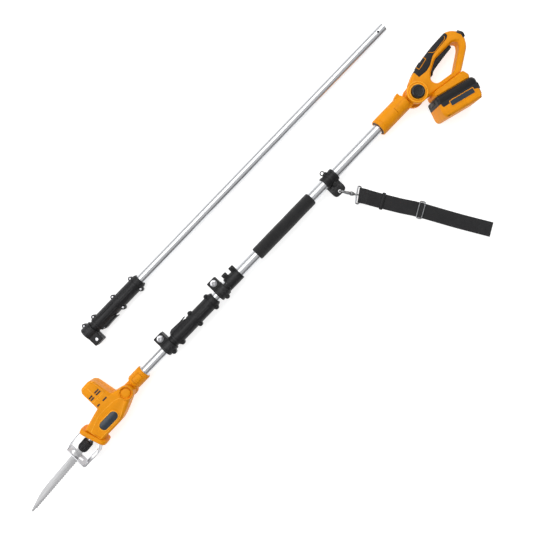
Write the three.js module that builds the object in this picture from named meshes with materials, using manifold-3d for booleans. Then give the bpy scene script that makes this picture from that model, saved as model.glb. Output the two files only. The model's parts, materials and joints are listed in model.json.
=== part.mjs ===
// Telescoping pole saw with a reciprocating pruning head, and its spare extension pole.
// It lies on its side on the floor. +X runs along the pole from the blade to the handle, +Y is the
// side that the motor housing stands out on, and +Z is up. Millimetres.
import * as THREE from 'three';
import Module from 'manifold-3d';
import { mergeVertices } from 'three/addons/utils/BufferGeometryUtils.js';

const wasm = await Module();
wasm.setup();

// ---------------------------------------------------------------- driving dimensions
// Measured along the pole from the blade's tip; the pole's axis is y = 0, z = 0 until the last lines.
const GAP = 0.3; // between pieces that touch
const RUN = 0.5; // running clearance of slides and hinges
const BIG = 400; // half size of the blocks that split shells in two

const INNER_R = 12.5; // telescoping tube, lower tube and extension tube, 25 mm
const OUTER_R = 14; // fixed tube, 28 mm
const INNER_WALL = 1.1;
const OUTER_WALL = 1.1;
const TUBE_SIDES = 20;

const BLADE_TILT = 3.4; // degrees between the blade and the pole
const BLADE_ROOT = [200, -22.5]; // where the blade's axis enters the collar
const BLADE_LENGTH = 200;
const BLADE_WIDTH = 19;
const BLADE_THICK = 1.4;
const TOOTH_PITCH = 6;
const TOOTH_DEPTH = 2.6;
const STROKE_HALF = 10;
const COLLAR_R = 13.5;
const COLLAR_LENGTH = 29;
const PLUNGER_R = 6;
const PLUNGER_HEAD_R = 10.2; // the slotted head that holds the blade's shank
const PLUNGER_HEAD_X = [1.5, 14];
const BLADE_SHANK = 12;

const SHOE_X = 180;
const SHOE_HALF = 19;
const SHOE_THICK = 2;

const NOSE_TILT = 16.9;
const NOSE_FRONT = [243.4, -23.3];
const NOSE_THICK = 12;
const NOSE_HEIGHT = 73;
const NOSE_HALF = 27;

const HEAD_HALF = 26;
const HEAD_WALL = 2.6;
const HEAD_EDGE = 5;
const HEAD_PIVOT = [387, -5];
const HEAD_DISC_R = 18.2;
const HEAD_DISC_HALF = 24;
const KNUCKLE_HALF = 11.5;
const HINGE_PIN_R = 4;

const GEAR_X = 108; // in the drive's own frame
const GEAR_MODULE = 1.35;
const GEAR_TEETH = 32;
const PINION_TEETH = 8;
const GEAR_LOW = 8;
const GEAR_HIGH = 14;
const CRANK_PIN_R = 3.5;
const AXLE_R = 3.5;
const MOTOR_R = 17;
const MOTOR_LENGTH = 57;
const SHAFT_R = 2.2;
const PLATE_LOW = 18;
const PLATE_HIGH = 22;

const HEAD_SOCKET_R = 19;
const HEAD_SOCKET_X = [409, 450];
const HEAD_TUBE_X = [414, 612];

const CLAMP_R = 19.5;
const CLAMP_WIDTH = 28;
const EAR_TOP = 38;
const EAR_HALF = 14;
const EAR_SLIT = 1.5;
const BOLT_Y = 27;
const BOLT_R = 4;
const BOLT_HEAD_R = 8.5;
const BOLT_HEAD_THICK = 5;

const COUPLER_X = 523; // mouth of the coupler's clamp
const COUPLER_LENGTH = 181;
const COUPLER_R = 18.7;
const LUG_R = 6;
const LUG_HALF = 8;
const LUG_Y = 18.5;
const LEVER_LENGTH = 54;
const LEVER_HALF = 9;
const PLUG_LENGTH = 26;

const INNER_TUBE_END = 1240;
const UPPER_CLAMP_X = 713.5;
const SLEEVE_X = [749, 792];
const SLEEVE_R = 16.8;
const SLEEVE_BOSS = 14;
const OUTER_TUBE_X = [744, 1345];
const FOAM_X = [854, 1049];
const FOAM_R = 17.5;

const STRAP_CLAMP_X = [1096, 1134];
const STRAP_CLAMP_R = 17.6;
const TAB_X = [1093, 1130];
const TAB_Y = -47;
const TAB_HOLE = [1112, -39.5];
const TAB_HOLE_R = 4.5;
const TAB_THICK = 4;

const HOOK_HEADING = -55; // degrees in the floor's plane
const HOOK_PITCH = 16; // degrees downwards
const HOOK_WIRE_R = 1.8;
const HOOK_LOOP_R = 7.8;
const HOOK_LENGTH = 51;
const RING_WIRE_R = 2;
const STRAP_WIDTH = 38;
const STRAP_THICK = 4.4;
const STRAP_HEADING = -61.3;
const [SLIDER_X, SLIDER_Y] = [1226.7, -222];

const SOCKET_X = [1291, 1384];
const SOCKET_R = 22.3;
const SOCKET_BUSH_R = 18.5;
const SOCKET_BUSH_LENGTH = 40;
const HANDLE_PIVOT = [1415, -8];
const HANDLE_DISC_R = 27;
const HANDLE_DISC_HALF = 23;
const HANDLE_KNUCKLE_R = 20;
const HANDLE_KNUCKLE_HALF = 12.5;
const HANDLE_HALF = 16;
const HANDLE_EDGE = 4;
const OVERMOULD_SKIN = 1.8;
const KNOB_R = 16.5;
const KNOB_HEIGHT = 8;
const KNOB_STEM_R = 6;
const KNOB_TRAVEL = 4;

const TRIGGER_HALF = 8;
const TRIGGER_TRAVEL = 5;
const TRIGGER_TOP = 24;
const SLIDER_HALF = 5;
const SLIDER_TRAVEL = 7;

const BATTERY_CORNER = [1431, -49]; // top front corner
const BATTERY_TILT = -15.5;
const BATTERY_LENGTH = 108;
const BATTERY_HEIGHT = 57;
const BATTERY_HALF = 36;
const COVER_HEIGHT = 21;
const BATTERY_WALL = 2.6;
const BATTERY_EDGE = 5;
const FOOT_HALF = 28;
const TONGUE_HALF = [12, 16];
const TONGUE_HEIGHT = [4, 8];
const BUTTON_HALF = 14;
const CELL_R = 9.2;
const CELL_LENGTH = 65;
const CELL_COUNT = 5;

const EXTENSION_AXIS = [169, -16.5]; // y, z of the spare pole, lying on the same floor
const EXTENSION_X = 408;
const EXTENSION_COUPLER_LENGTH = 196;
const EXTENSION_END = 1489;

const FLOOR_Z = -BATTERY_HALF; // the battery's lower side rests on the floor

// ---------------------------------------------------------------- finishes
function finish(color, roughness, metalness) {
  return new THREE.MeshStandardMaterial({ color, roughness, metalness });
}
const ORANGE = finish(0xf29a08, 0.45, 0);
const BLACK = finish(0x2c2c2e, 0.6, 0);
const RUBBER = finish(0x37383c, 0.85, 0);
const FOAM = finish(0x2b2b2b, 0.95, 0);
const WEBBING = finish(0x1e1e20, 0.9, 0);
const ALUMINIUM = finish(0xc9cbcd, 0.32, 1);
const STEEL = finish(0xb4b6b8, 0.3, 1);
const CHROME = finish(0xe0e0e0, 0.12, 1);
const CAST = finish(0x9a9c9e, 0.55, 1);
const BRONZE = finish(0xb08d57, 0.4, 1);
const LABEL = finish(0x2e3a46, 0.5, 0);

const group = new THREE.Group();

// ---------------------------------------------------------------- small tools
const degrees = (angle) => THREE.MathUtils.degToRad(angle);

function solid(geometry) {
  const bare = geometry.clone();
  bare.deleteAttribute('normal');
  bare.deleteAttribute('uv');
  const merged = mergeVertices(bare, 1e-4);
  const vertProperties = new Float32Array(merged.attributes.position.array);
  const triVerts = new Uint32Array(merged.index.array);
  return new wasm.Manifold(new wasm.Mesh({ numProp: 3, vertProperties, triVerts }));
}

function surface(body) {
  const mesh = body.getMesh();
  const geometry = new THREE.BufferGeometry();
  geometry.setAttribute('position', new THREE.BufferAttribute(new Float32Array(mesh.vertProperties), 3));
  geometry.setIndex(new THREE.BufferAttribute(new Uint32Array(mesh.triVerts), 1));
  return geometry;
}

function join(first, ...rest) {
  return surface(rest.reduce((sum, next) => sum.add(solid(next)), solid(first)));
}

function cut(body, ...tools) {
  return surface(tools.reduce((rest, tool) => rest.subtract(solid(tool)), solid(body)));
}

function common(first, second) {
  return surface(solid(first).intersect(solid(second)));
}

function block(x0, x1, y0, y1, z0, z1) {
  const geometry = new THREE.BoxGeometry(x1 - x0, y1 - y0, z1 - z0);
  return geometry.translate((x0 + x1) / 2, (y0 + y1) / 2, (z0 + z1) / 2);
}

function rodX(x0, x1, radius, y = 0, z = 0, sides = TUBE_SIDES, radiusEnd = radius) {
  const geometry = new THREE.CylinderGeometry(radiusEnd, radius, x1 - x0, sides);
  return geometry.rotateZ(-Math.PI / 2).translate((x0 + x1) / 2, y, z);
}

function rodY(y0, y1, radius, x = 0, z = 0, sides = 14) {
  return new THREE.CylinderGeometry(radius, radius, y1 - y0, sides).translate(x, (y0 + y1) / 2, z);
}

function rodZ(z0, z1, radius, [x, y], sides = 16) {
  const geometry = new THREE.CylinderGeometry(radius, radius, z1 - z0, sides);
  return geometry.rotateX(Math.PI / 2).translate(x, y, (z0 + z1) / 2);
}

const pipeX = (x0, x1, outer, inner) => cut(rodX(x0, x1, outer), rodX(x0 - 1, x1 + 1, inner));

// An outline is a closed list of [x, y, corner radius]; a rounded corner becomes a curve of three steps.
const ROUND_STEPS = [0, 1 / 3, 2 / 3, 1];
function rounded(points) {
  return points.flatMap(([x, y, radius = 0], i) => {
    const corner = new THREE.Vector2(x, y);
    if (radius === 0) return [corner];
    const toward = (other) => {
      const step = new THREE.Vector2(other[0] - x, other[1] - y);
      return step.multiplyScalar(Math.min(radius / step.length(), 0.48)).add(corner);
    };
    const start = toward(points[(i + points.length - 1) % points.length]);
    const end = toward(points[(i + 1) % points.length]);
    const curve = new THREE.QuadraticBezierCurve(start, corner, end);
    return ROUND_STEPS.map((step) => curve.getPoint(step));
  });
}

function roundBox(x0, x1, y0, y1, radius) {
  return [[x0, y0, radius], [x1, y0, radius], [x1, y1, radius], [x0, y1, radius]];
}

// The same outline with every corner moved inwards by a distance.
function inset(points, distance) {
  const turn = THREE.ShapeUtils.area(points.map(([x, y]) => new THREE.Vector2(x, y))) > 0 ? 1 : -1;
  return points.map(([x, y, radius = 0], i) => {
    const before = points[(i + points.length - 1) % points.length];
    const after = points[(i + 1) % points.length];
    const a = new THREE.Vector2(x - before[0], y - before[1]).normalize();
    const b = new THREE.Vector2(after[0] - x, after[1] - y).normalize();
    const side = new THREE.Vector2(-a.y - b.y, a.x + b.x).multiplyScalar(turn / (1 + a.dot(b)));
    return [x + side.x * distance, y + side.y * distance, Math.max(radius - distance, 0)];
  });
}

// An outline in the xy plane, given its thickness between two heights, with chamfered edges.
const EDGE_STEPS = [[1, 0], [0, 1]];
function plate(points, z0, z1, edge = 0, holes = []) {
  const contours = [points, ...holes].map((line, i) => {
    const spots = rounded(line);
    const wrongWay = THREE.ShapeUtils.isClockWise(spots) === (i === 0);
    return wrongWay ? spots.reverse() : spots;
  });
  const steps = edge > 0 ? EDGE_STEPS : [[0, 0]];
  const bottom = steps.map(([inward, up]) => [inward * edge, z0 + up * edge]);
  const top = steps.map(([inward, up]) => [inward * edge, z1 - up * edge]).reverse();
  const levels = [...bottom, ...top];
  const ringSize = contours.reduce((sum, line) => sum + line.length, 0);
  const positions = levels.flatMap(([inward, z]) => contours.flatMap((line, i) => {
    const moved = inset(line.map((spot) => [spot.x, spot.y]), i === 0 ? inward : -inward);
    return moved.flatMap(([x, y]) => [x, y, z]);
  }));
  const [outer, ...inner] = contours;
  const caps = THREE.ShapeUtils.triangulateShape(outer, inner);
  const last = (levels.length - 1) * ringSize;
  const faces = caps.flatMap(([a, b, c]) => [a, c, b, last + a, last + b, last + c]);
  for (let level = 0; level + 1 < levels.length; level += 1) {
    let start = level * ringSize;
    for (const line of contours) {
      for (let k = 0; k < line.length; k += 1) {
        const [a, b] = [start + k, start + ((k + 1) % line.length)];
        faces.push(a, b, b + ringSize, a, b + ringSize, a + ringSize);
      }
      start += line.length;
    }
  }
  const geometry = new THREE.BufferGeometry();
  geometry.setAttribute('position', new THREE.BufferAttribute(new Float32Array(positions), 3));
  return geometry.setIndex(faces);
}

const upperHalf = (body) => common(body, block(-BIG * 5, BIG * 5, -BIG, BIG, GAP / 2, BIG));
const lowerHalf = (body) => common(body, block(-BIG * 5, BIG * 5, -BIG, BIG, -BIG, -GAP / 2));

// A spur gear's outline about its own axis, with straight-flanked teeth.
function gearOutline(teeth, module, phase) {
  const root = (module * teeth) / 2 - 1.15 * module;
  const tip = (module * teeth) / 2 + 0.85 * module;
  const shares = [[-0.3, root], [-0.13, tip], [0.13, tip], [0.3, root]];
  const points = [];
  for (let tooth = 0; tooth < teeth; tooth += 1) {
    for (const [share, radius] of shares) {
      const angle = (2 * Math.PI * (tooth + share + phase)) / teeth;
      points.push([radius * Math.cos(angle), radius * Math.sin(angle)]);
    }
  }
  return points;
}

function add(name, geometry, material, parent = group) {
  const mesh = new THREE.Mesh(geometry, material);
  mesh.name = name;
  parent.add(mesh);
  return mesh;
}

function frameAt([x, y], angle, parent = group) {
  const frame = new THREE.Group();
  frame.position.set(x, y, 0);
  frame.rotation.z = degrees(angle);
  parent.add(frame);
  return frame;
}

const placed = (geometry, [x, y], angle) => geometry.clone().rotateZ(degrees(angle)).translate(x, y, 0);
const inDrive = (geometry) => placed(geometry, BLADE_ROOT, BLADE_TILT);
const inNose = (geometry) => placed(geometry, NOSE_FRONT, NOSE_TILT);

// ---------------------------------------------------------------- blade and its drive
const drive = frameAt(BLADE_ROOT, BLADE_TILT);

function bladeBody() {
  const half = BLADE_WIDTH / 2;
  const toothStart = -BLADE_LENGTH + 14;
  const toothCount = Math.floor((BLADE_LENGTH - 40) / TOOTH_PITCH);
  const points = [[BLADE_SHANK, half - 3], [BLADE_SHANK, -half + 3], [-16, -half + 1]];
  for (let tooth = toothCount; tooth > 0; tooth -= 1) {
    const x = toothStart + tooth * TOOTH_PITCH;
    points.push([x, -half + 0.6], [x - TOOTH_PITCH * 0.6, -half - TOOTH_DEPTH + 0.6]);
  }
  points.push([toothStart, -half + 0.6], [-BLADE_LENGTH + 1.5, -half + 0.2, 2]);
  points.push([-BLADE_LENGTH, -half + 5, 2]);
  points.push([-BLADE_LENGTH + 48, half - 1.5, 18], [-BLADE_LENGTH + 84, half, 18], [-2, half]);
  return plate(points, -BLADE_THICK / 2, BLADE_THICK / 2);
}
add('blade', bladeBody(), STEEL, drive);

const collarBore = join(rodX(-1, PLUNGER_HEAD_X[1] + GAP, PLUNGER_HEAD_R + GAP, 0, 0, 16),
  rodX(PLUNGER_HEAD_X[1], COLLAR_LENGTH + 1, PLUNGER_R + GAP, 0, 0, 16));
const collarRibs = Array.from({ length: 12 }, (_, i) => {
  const angle = (i * Math.PI) / 6;
  const radius = COLLAR_R - 0.9;
  return rodX(3, COLLAR_LENGTH - 3, 1.4, radius * Math.cos(angle), radius * Math.sin(angle), 4);
});
const collarCone = rodX(0, 3, COLLAR_R - 2.3, 0, 0, 12, COLLAR_R - 1);
const collarSleeve = rodX(3, COLLAR_LENGTH, COLLAR_R - 1, 0, 0, 12);
add('blade_collar', cut(join(collarCone, collarSleeve, ...collarRibs), collarBore), BLACK, drive);

const YOKE_X = [GEAR_X - 10, GEAR_X + 10];
const YOKE_HALF = [6, 20];
const slotHalf = BLADE_THICK / 2 + GAP;
const slotWidth = BLADE_WIDTH / 2 + 1;
const bladeSlot = block(-1, BLADE_SHANK + GAP, -slotWidth, slotWidth, -slotHalf, slotHalf);
const plungerBody = cut(
  join(rodX(PLUNGER_HEAD_X[0], PLUNGER_HEAD_X[1], PLUNGER_HEAD_R, 0, 0, 16),
    rodX(PLUNGER_HEAD_X[1] - 1, YOKE_X[0] + 2, PLUNGER_R, 0, 0, 16),
    block(YOKE_X[0], YOKE_X[1], -YOKE_HALF[0], YOKE_HALF[0], -YOKE_HALF[1], YOKE_HALF[1])),
  bladeSlot,
  block(GEAR_X - CRANK_PIN_R - RUN, GEAR_X + CRANK_PIN_R + RUN, -10, 10, -14.5, 14.5));
add('plunger', plungerBody, STEEL, drive);

const BUSH_X = [66, 80];
const BUSH_R = 11;
const bush = cut(rodX(BUSH_X[0], BUSH_X[1], BUSH_R, 0, 0, 20), rodX(0, 99, PLUNGER_R + GAP, 0, 0, 20));
add('plunger_bush', bush, BRONZE, drive);

const gearRadius = (GEAR_MODULE * GEAR_TEETH) / 2;
const pinionRadius = (GEAR_MODULE * PINION_TEETH) / 2;
const PINION_X = GEAR_X + gearRadius + pinionRadius;
function toothedWheel(teeth, phase) {
  return plate(gearOutline(teeth, GEAR_MODULE, phase), GEAR_LOW, GEAR_HIGH).rotateX(-Math.PI / 2);
}
const crankGear = join(cut(toothedWheel(GEAR_TEETH, 0), rodY(0, 30, AXLE_R + GAP)),
  rodY(YOKE_HALF[0] + RUN, GEAR_LOW + 1, CRANK_PIN_R, 0, STROKE_HALF, 12));
add('crank_gear', crankGear, STEEL, drive).position.x = GEAR_X;
const pinion = join(toothedWheel(PINION_TEETH, 0.5), rodY(GEAR_LOW + 1, PLATE_HIGH + 16, SHAFT_R, 0, 0, 12));
add('motor_pinion', pinion, STEEL, drive).position.x = PINION_X;
const axleShoulder = rodY(GEAR_HIGH + GAP, PLATE_LOW - GAP, AXLE_R + 2.5);
const axle = join(rodY(GEAR_LOW - 1, PLATE_LOW + 3, AXLE_R), axleShoulder);
add('gear_axle', axle, STEEL, drive).position.x = GEAR_X;

const motorBase = PLATE_HIGH + GAP;
const motorBody = cut(
  join(rodY(motorBase, motorBase + MOTOR_LENGTH, MOTOR_R, 0, 0, 24),
    rodY(motorBase + MOTOR_LENGTH - 1, motorBase + MOTOR_LENGTH + 4, 6, 0, 0, 14)),
  rodY(0, motorBase + 20, SHAFT_R + RUN, 0, 0, 14));
add('head_motor', motorBody, CAST, drive).position.x = PINION_X;

const frameHalf = HEAD_HALF - HEAD_WALL - GAP;
const frameBody = cut(
  join(block(BUSH_X[0], BUSH_X[1], -15, PLATE_HIGH, -frameHalf, frameHalf),
    block(BUSH_X[0], PINION_X + 14, PLATE_LOW, PLATE_HIGH, -frameHalf, frameHalf)),
  rodX(0, 120, BUSH_R + GAP, 0, 0, 20),
  rodY(0, 40, AXLE_R + GAP, GEAR_X, 0, 14),
  rodY(0, 40, pinionRadius + 2.5, PINION_X, 0, 16));
add('gear_frame', frameBody, CAST, drive);

// ---------------------------------------------------------------- shoe and nose
function shoeBody() {
  const front = block(SHOE_X, SHOE_X + SHOE_THICK, -58, 3, -SHOE_HALF, SHOE_HALF);
  const slot = block(SHOE_X - 1, SHOE_X + SHOE_THICK + 1, -44, -9, -5, 5);
  const lip = block(SHOE_X, SHOE_X + 14, -58, -56, -SHOE_HALF, SHOE_HALF);
  const arm = SHOE_HALF - 5;
  const top = [[SHOE_X, 1], [SHOE_X + 18, 7, 6], [246, 10], [246, 12], [SHOE_X + 17, 9, 6], [SHOE_X, 3]];
  const bottom = [[SHOE_X, -58], [226, -58, 6], [246, -44], [247, -46], [227, -60, 6], [SHOE_X, -60]];
  const brace = [[SHOE_X + 12, -57], [SHOE_X + 14, -50, 3], [232, -50], [233, -52], [SHOE_X + 16, -52, 3],
    [SHOE_X + 14, -57]];
  const arms = [top, bottom, brace].map((side) => plate(side, -arm, arm));
  return join(cut(front, slot), lip, ...arms);
}

function noseBody() {
  const half = NOSE_HEIGHT / 2;
  const side = [[0, half - 3, 3], [3, half, 3], [NOSE_THICK - 2, half, 4], [NOSE_THICK, half - 6, 3],
    [NOSE_THICK, -half + 4, 3], [NOSE_THICK - 2, -half, 4], [3, -half, 3], [0, -half + 3, 3]];
  const front = roundBox(-NOSE_HALF, NOSE_HALF, -half, half, 16);
  const section = plate(front, -BIG, BIG).rotateY(Math.PI / 2);
  return inNose(common(plate(side, -NOSE_HALF, NOSE_HALF), section));
}
const collarWay = inDrive(rodX(-20, 70, COLLAR_R + 2.5, 0, 0, 28));
const shoe = cut(shoeBody(), collarWay);
add('shoe', cut(shoe, inNose(block(3 - GAP, 60, -BIG, BIG, -BIG, BIG))), CHROME);
const shoeSlots = inNose(join(block(-1, 3, 32, 35.6, -15, 15), block(-1, 3, -33, -21, -15, 15)));
add('nose_flange', cut(noseBody(), collarWay, shoeSlots), ORANGE);

// ---------------------------------------------------------------- head shells
const HEAD_OUTLINE = [[249, 3], [297, 16, 8], [308, 18, 3], [308, 72, 4], [315, 81, 4], [341, 82, 4],
  [349, 73, 4], [358, 20, 3], [378, 15, 4], [392, 8, 6], [392, -18, 6], [374, -26, 10], [358, -33, 10],
  [333, -42, 10],
  [322, -44, 8], [262, -44]];
const VENTS = [[314, 324, 49.8], [314, 324, 43.7], [333, 346, 50], [333, 346, 44], [315, 322, 22.5],
  [334, 346, 22.5]];
const VENT_HALF = 1.4;
const labelOutline = (grow) => {
  const [x0, x1, y0, y1] = [281 - grow, 336 + grow, -33 - grow, -11 + grow];
  return roundBox(x0, x1, y0, y1, (y1 - y0) / 2);
};

function headBody() {
  const discs = rodZ(-HEAD_DISC_HALF, HEAD_DISC_HALF, HEAD_DISC_R, HEAD_PIVOT, 24);
  const shell = join(plate(HEAD_OUTLINE, -HEAD_HALF, HEAD_HALF, HEAD_EDGE), discs);
  const room = plate(inset(HEAD_OUTLINE, HEAD_WALL), -HEAD_HALF + HEAD_WALL, HEAD_HALF - HEAD_WALL);
  const chamber = common(room, block(0, HEAD_PIVOT[0] - HEAD_DISC_R - 4, -BIG, BIG, -BIG, BIG));
  const knuckleRoom = join(
    rodZ(-KNUCKLE_HALF - RUN, KNUCKLE_HALF + RUN, HEAD_DISC_R + 1, HEAD_PIVOT, 24),
    block(HEAD_PIVOT[0], HEAD_PIVOT[0] + 40, -40, 40, -KNUCKLE_HALF - RUN, KNUCKLE_HALF + RUN));
  const nose = inNose(block(-60, NOSE_THICK + GAP, -BIG, BIG, -BIG, BIG));
  const slots = VENTS.map(([x0, x1, y]) => block(x0, x1, y - VENT_HALF, y + VENT_HALF, -BIG, BIG));
  const plateRoom = plate(labelOutline(GAP), HEAD_HALF - 1.2, HEAD_HALF + 1);
  return cut(shell, chamber, knuckleRoom, nose, collarWay, plateRoom, flipPlate(plateRoom), ...slots,
    rodZ(-BIG, BIG, HINGE_PIN_R + GAP, HEAD_PIVOT, 16), rodZ(HEAD_DISC_HALF - 5, BIG, 9, HEAD_PIVOT, 24),
    rodZ(-BIG, -HEAD_DISC_HALF + 5, 9, HEAD_PIVOT, 24));
}
function flipPlate(geometry) {
  return surface(solid(geometry).mirror([0, 0, 1]));
}
const head = headBody();
add('head_shell_upper', upperHalf(head), ORANGE);
add('head_shell_lower', lowerHalf(head), ORANGE);
add('head_label', plate(labelOutline(0), HEAD_HALF - 1.2 + GAP, HEAD_HALF + 0.2), LABEL);

const headBoltHead = HEAD_DISC_HALF - 5;
add('head_hinge_bolt', join(rodZ(-headBoltHead - 3, headBoltHead + 3, HINGE_PIN_R, HEAD_PIVOT, 16),
  rodZ(headBoltHead + GAP, headBoltHead + 4, 8.5, HEAD_PIVOT, 20),
  rodZ(-headBoltHead - 4, -headBoltHead - GAP, 8.5, HEAD_PIVOT, 20)), STEEL);

// ---------------------------------------------------------------- head socket and lower tube
const [headSocketLow, headSocketHigh] = HEAD_SOCKET_X;
const headSocket = cut(
  join(rodZ(-KNUCKLE_HALF, KNUCKLE_HALF, HEAD_DISC_R - 1.2, HEAD_PIVOT, 20),
    block(HEAD_PIVOT[0], headSocketLow + 3, -15, 12, -KNUCKLE_HALF, KNUCKLE_HALF),
    rodX(headSocketLow, headSocketLow + 4, HEAD_SOCKET_R - 2, 0, 0, TUBE_SIDES, HEAD_SOCKET_R),
    rodX(headSocketLow + 4, headSocketHigh - 3, HEAD_SOCKET_R),
    rodX(headSocketHigh - 3, headSocketHigh, HEAD_SOCKET_R, 0, 0, TUBE_SIDES, HEAD_SOCKET_R - 2)),
  rodX(HEAD_TUBE_X[0] - GAP, headSocketHigh + 1, INNER_R + GAP),
  rodZ(-BIG, BIG, HINGE_PIN_R + GAP, HEAD_PIVOT, 16));
add('head_socket', headSocket, ORANGE);
add('head_tube', pipeX(HEAD_TUBE_X[0], HEAD_TUBE_X[1], INNER_R, INNER_R - INNER_WALL), ALUMINIUM);

// ---------------------------------------------------------------- clamps and couplers
// A ring with two ears that its bolt pulls together; the bolt's head faces up.
function clampRing(x, width, bore) {
  const ear = [[x, 8], [x + width - 1, 8], [x + width - 1, EAR_TOP, 4], [x, EAR_TOP, 4]];
  const body = join(rodX(x, x + width, CLAMP_R), plate(ear, -EAR_HALF, EAR_HALF));
  const slit = block(x - 1, x + width + 1, 0, EAR_TOP + 5, -EAR_SLIT, EAR_SLIT);
  const lug = rodZ(-LUG_HALF, LUG_HALF, LUG_R, [x + width / 2, -LUG_Y - 1], 16);
  return cut(join(body, lug), slit, rodX(x - 1, x + width + 1, bore + GAP),
    rodZ(-BIG, BIG, BOLT_R + GAP, [x + width / 2, BOLT_Y], 12));
}

function clampBolt(x, width) {
  const at = [x + width / 2, BOLT_Y];
  return join(rodZ(-EAR_HALF + 2, EAR_HALF + 2, BOLT_R, at, 10),
    rodZ(EAR_HALF + GAP, EAR_HALF + GAP + BOLT_HEAD_THICK, BOLT_HEAD_R, at, 16));
}

// The lever from the side, measured from its hinge end and from the coupler's skin.
const LEVER_SIDE = [[0, -1.5 + GAP, 2], [0, 1, 3], [9, 5.2, 3], [40, 3.6, 3], [LEVER_LENGTH, 5, 1.5],
  [LEVER_LENGTH, 2.6], [30, 1.2, 3], [16, -1.5 + GAP, 3]];

// One coupler, with its mouth at x = 0: a clamp, two shells with screw lugs, a lever and a connector plug.
function addCoupler(prefix, length, parent) {
  const shellStart = CLAMP_WIDTH + 9;
  const lugAt = [0.06, 0.5, 0.9].map((share) => shellStart + share * (length - shellStart));
  const plugStart = length * 0.5;
  const leverStart = shellStart + 2;
  const neck = cut(rodX(CLAMP_WIDTH - 1, shellStart - GAP, CLAMP_R - 4), rodX(0, length, INNER_R + GAP));
  const slit = block(-1, shellStart + 1, 0, EAR_TOP + 5, -EAR_SLIT, EAR_SLIT);
  add(`${prefix}_clamp`, cut(join(clampRing(0, CLAMP_WIDTH, INNER_R), neck), slit), BLACK, parent);
  add(`${prefix}_clamp_bolt`, clampBolt(0, CLAMP_WIDTH), CHROME, parent);
  const lugs = lugAt.flatMap((x) => [-LUG_Y, LUG_Y].map((y) => rodZ(-LUG_HALF, LUG_HALF, LUG_R, [x, y], 12)));
  const ribTop = COUPLER_R + 0.4;
  const ribs = [-5, 0, 5].map((y) => block(lugAt[1] + 6, lugAt[2] - 12, y - 0.9, y + 0.9, -ribTop, ribTop));
  const leverEnd = leverStart + LEVER_LENGTH;
  const saddleHalf = LEVER_HALF + 2;
  const saddle = block(leverStart + 2, leverEnd - 6, 10, COUPLER_R + 1, -saddleHalf, saddleHalf);
  const roomHalfWidth = LEVER_HALF + RUN;
  const leverRoom = block(leverStart - 6, leverEnd + 2, COUPLER_R - 1.5, 40, -roomHalfWidth, roomHalfWidth);
  const taper = rodX(length - 6, length, COUPLER_R, 0, 0, TUBE_SIDES, COUPLER_R - 3);
  const outside = join(rodX(shellStart, length - 6, COUPLER_R), taper, ...lugs, ...ribs, saddle);
  const body = cut(outside, leverRoom, rodX(0, length + 1, INNER_R + GAP));
  add(`${prefix}_shell_upper`, upperHalf(body), BLACK, parent);
  add(`${prefix}_shell_lower`, lowerHalf(body), BLACK, parent);
  const lever = LEVER_SIDE.map(([x, y, radius = 0]) => [leverStart + x, COUPLER_R + y, radius]);
  add(`${prefix}_lever`, plate(lever, -LEVER_HALF, LEVER_HALF), BLACK, parent);
  add(`${prefix}_plug`, cut(rodX(plugStart, plugStart + PLUG_LENGTH, INNER_R, 0, 0, 20),
    rodX(plugStart - 1, plugStart + 14, 7, 0, 0, 16)), BLACK, parent);
  return plugStart;
}

const mainCoupler = new THREE.Group();
mainCoupler.position.x = COUPLER_X;
group.add(mainCoupler);
const plugX = COUPLER_X + addCoupler('coupler', COUPLER_LENGTH, mainCoupler);
const innerTubeStart = plugX + PLUG_LENGTH + GAP;
add('inner_tube', pipeX(innerTubeStart, INNER_TUBE_END, INNER_R, INNER_R - INNER_WALL), ALUMINIUM);

// ---------------------------------------------------------------- upper clamp, sleeve, outer tube
const neckStart = UPPER_CLAMP_X + CLAMP_WIDTH;
const neckTop = block(0, BIG * 5, 8, 40, -BIG, BIG);
const upperNeck = cut(rodX(neckStart - 2, SLEEVE_X[0] - GAP, OUTER_R + 2.6), neckTop);
const upperClamp = cut(join(clampRing(UPPER_CLAMP_X, CLAMP_WIDTH, INNER_R), upperNeck),
  rodX(UPPER_CLAMP_X - 1, BIG * 3, INNER_R + GAP), rodX(OUTER_TUBE_X[0] - GAP, BIG * 3, OUTER_R + GAP));
add('upper_clamp', upperClamp, BLACK);
add('upper_clamp_bolt', clampBolt(UPPER_CLAMP_X, CLAMP_WIDTH), CHROME);

const sleeveBosses = [SLEEVE_X[0] + 4, SLEEVE_X[1] - SLEEVE_BOSS].map((x) => {
  const square = [[x, 8], [x + SLEEVE_BOSS, 8], [x + SLEEVE_BOSS, 27, 2], [x, 27, 2]];
  return plate(square, -9, 9, 1);
});
const outerTubeWay = rodX(0, BIG * 5, OUTER_R + GAP);
const sleeve = cut(join(rodX(SLEEVE_X[0], SLEEVE_X[1], SLEEVE_R), ...sleeveBosses), outerTubeWay);
add('sleeve_upper', upperHalf(sleeve), BLACK);
add('sleeve_lower', lowerHalf(sleeve), BLACK);
const outerBore = OUTER_R - OUTER_WALL;
add('outer_tube', pipeX(OUTER_TUBE_X[0], OUTER_TUBE_X[1], OUTER_R, outerBore), ALUMINIUM);
const foamFront = rodX(FOAM_X[0], FOAM_X[0] + 3, FOAM_R - 2, 0, 0, TUBE_SIDES, FOAM_R);
const foamRear = rodX(FOAM_X[1] - 3, FOAM_X[1], FOAM_R, 0, 0, TUBE_SIDES, FOAM_R - 2);
const foam = join(foamFront, rodX(FOAM_X[0] + 3, FOAM_X[1] - 3, FOAM_R), foamRear);
add('foam_grip', cut(foam, outerTubeWay), FOAM);

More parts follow.
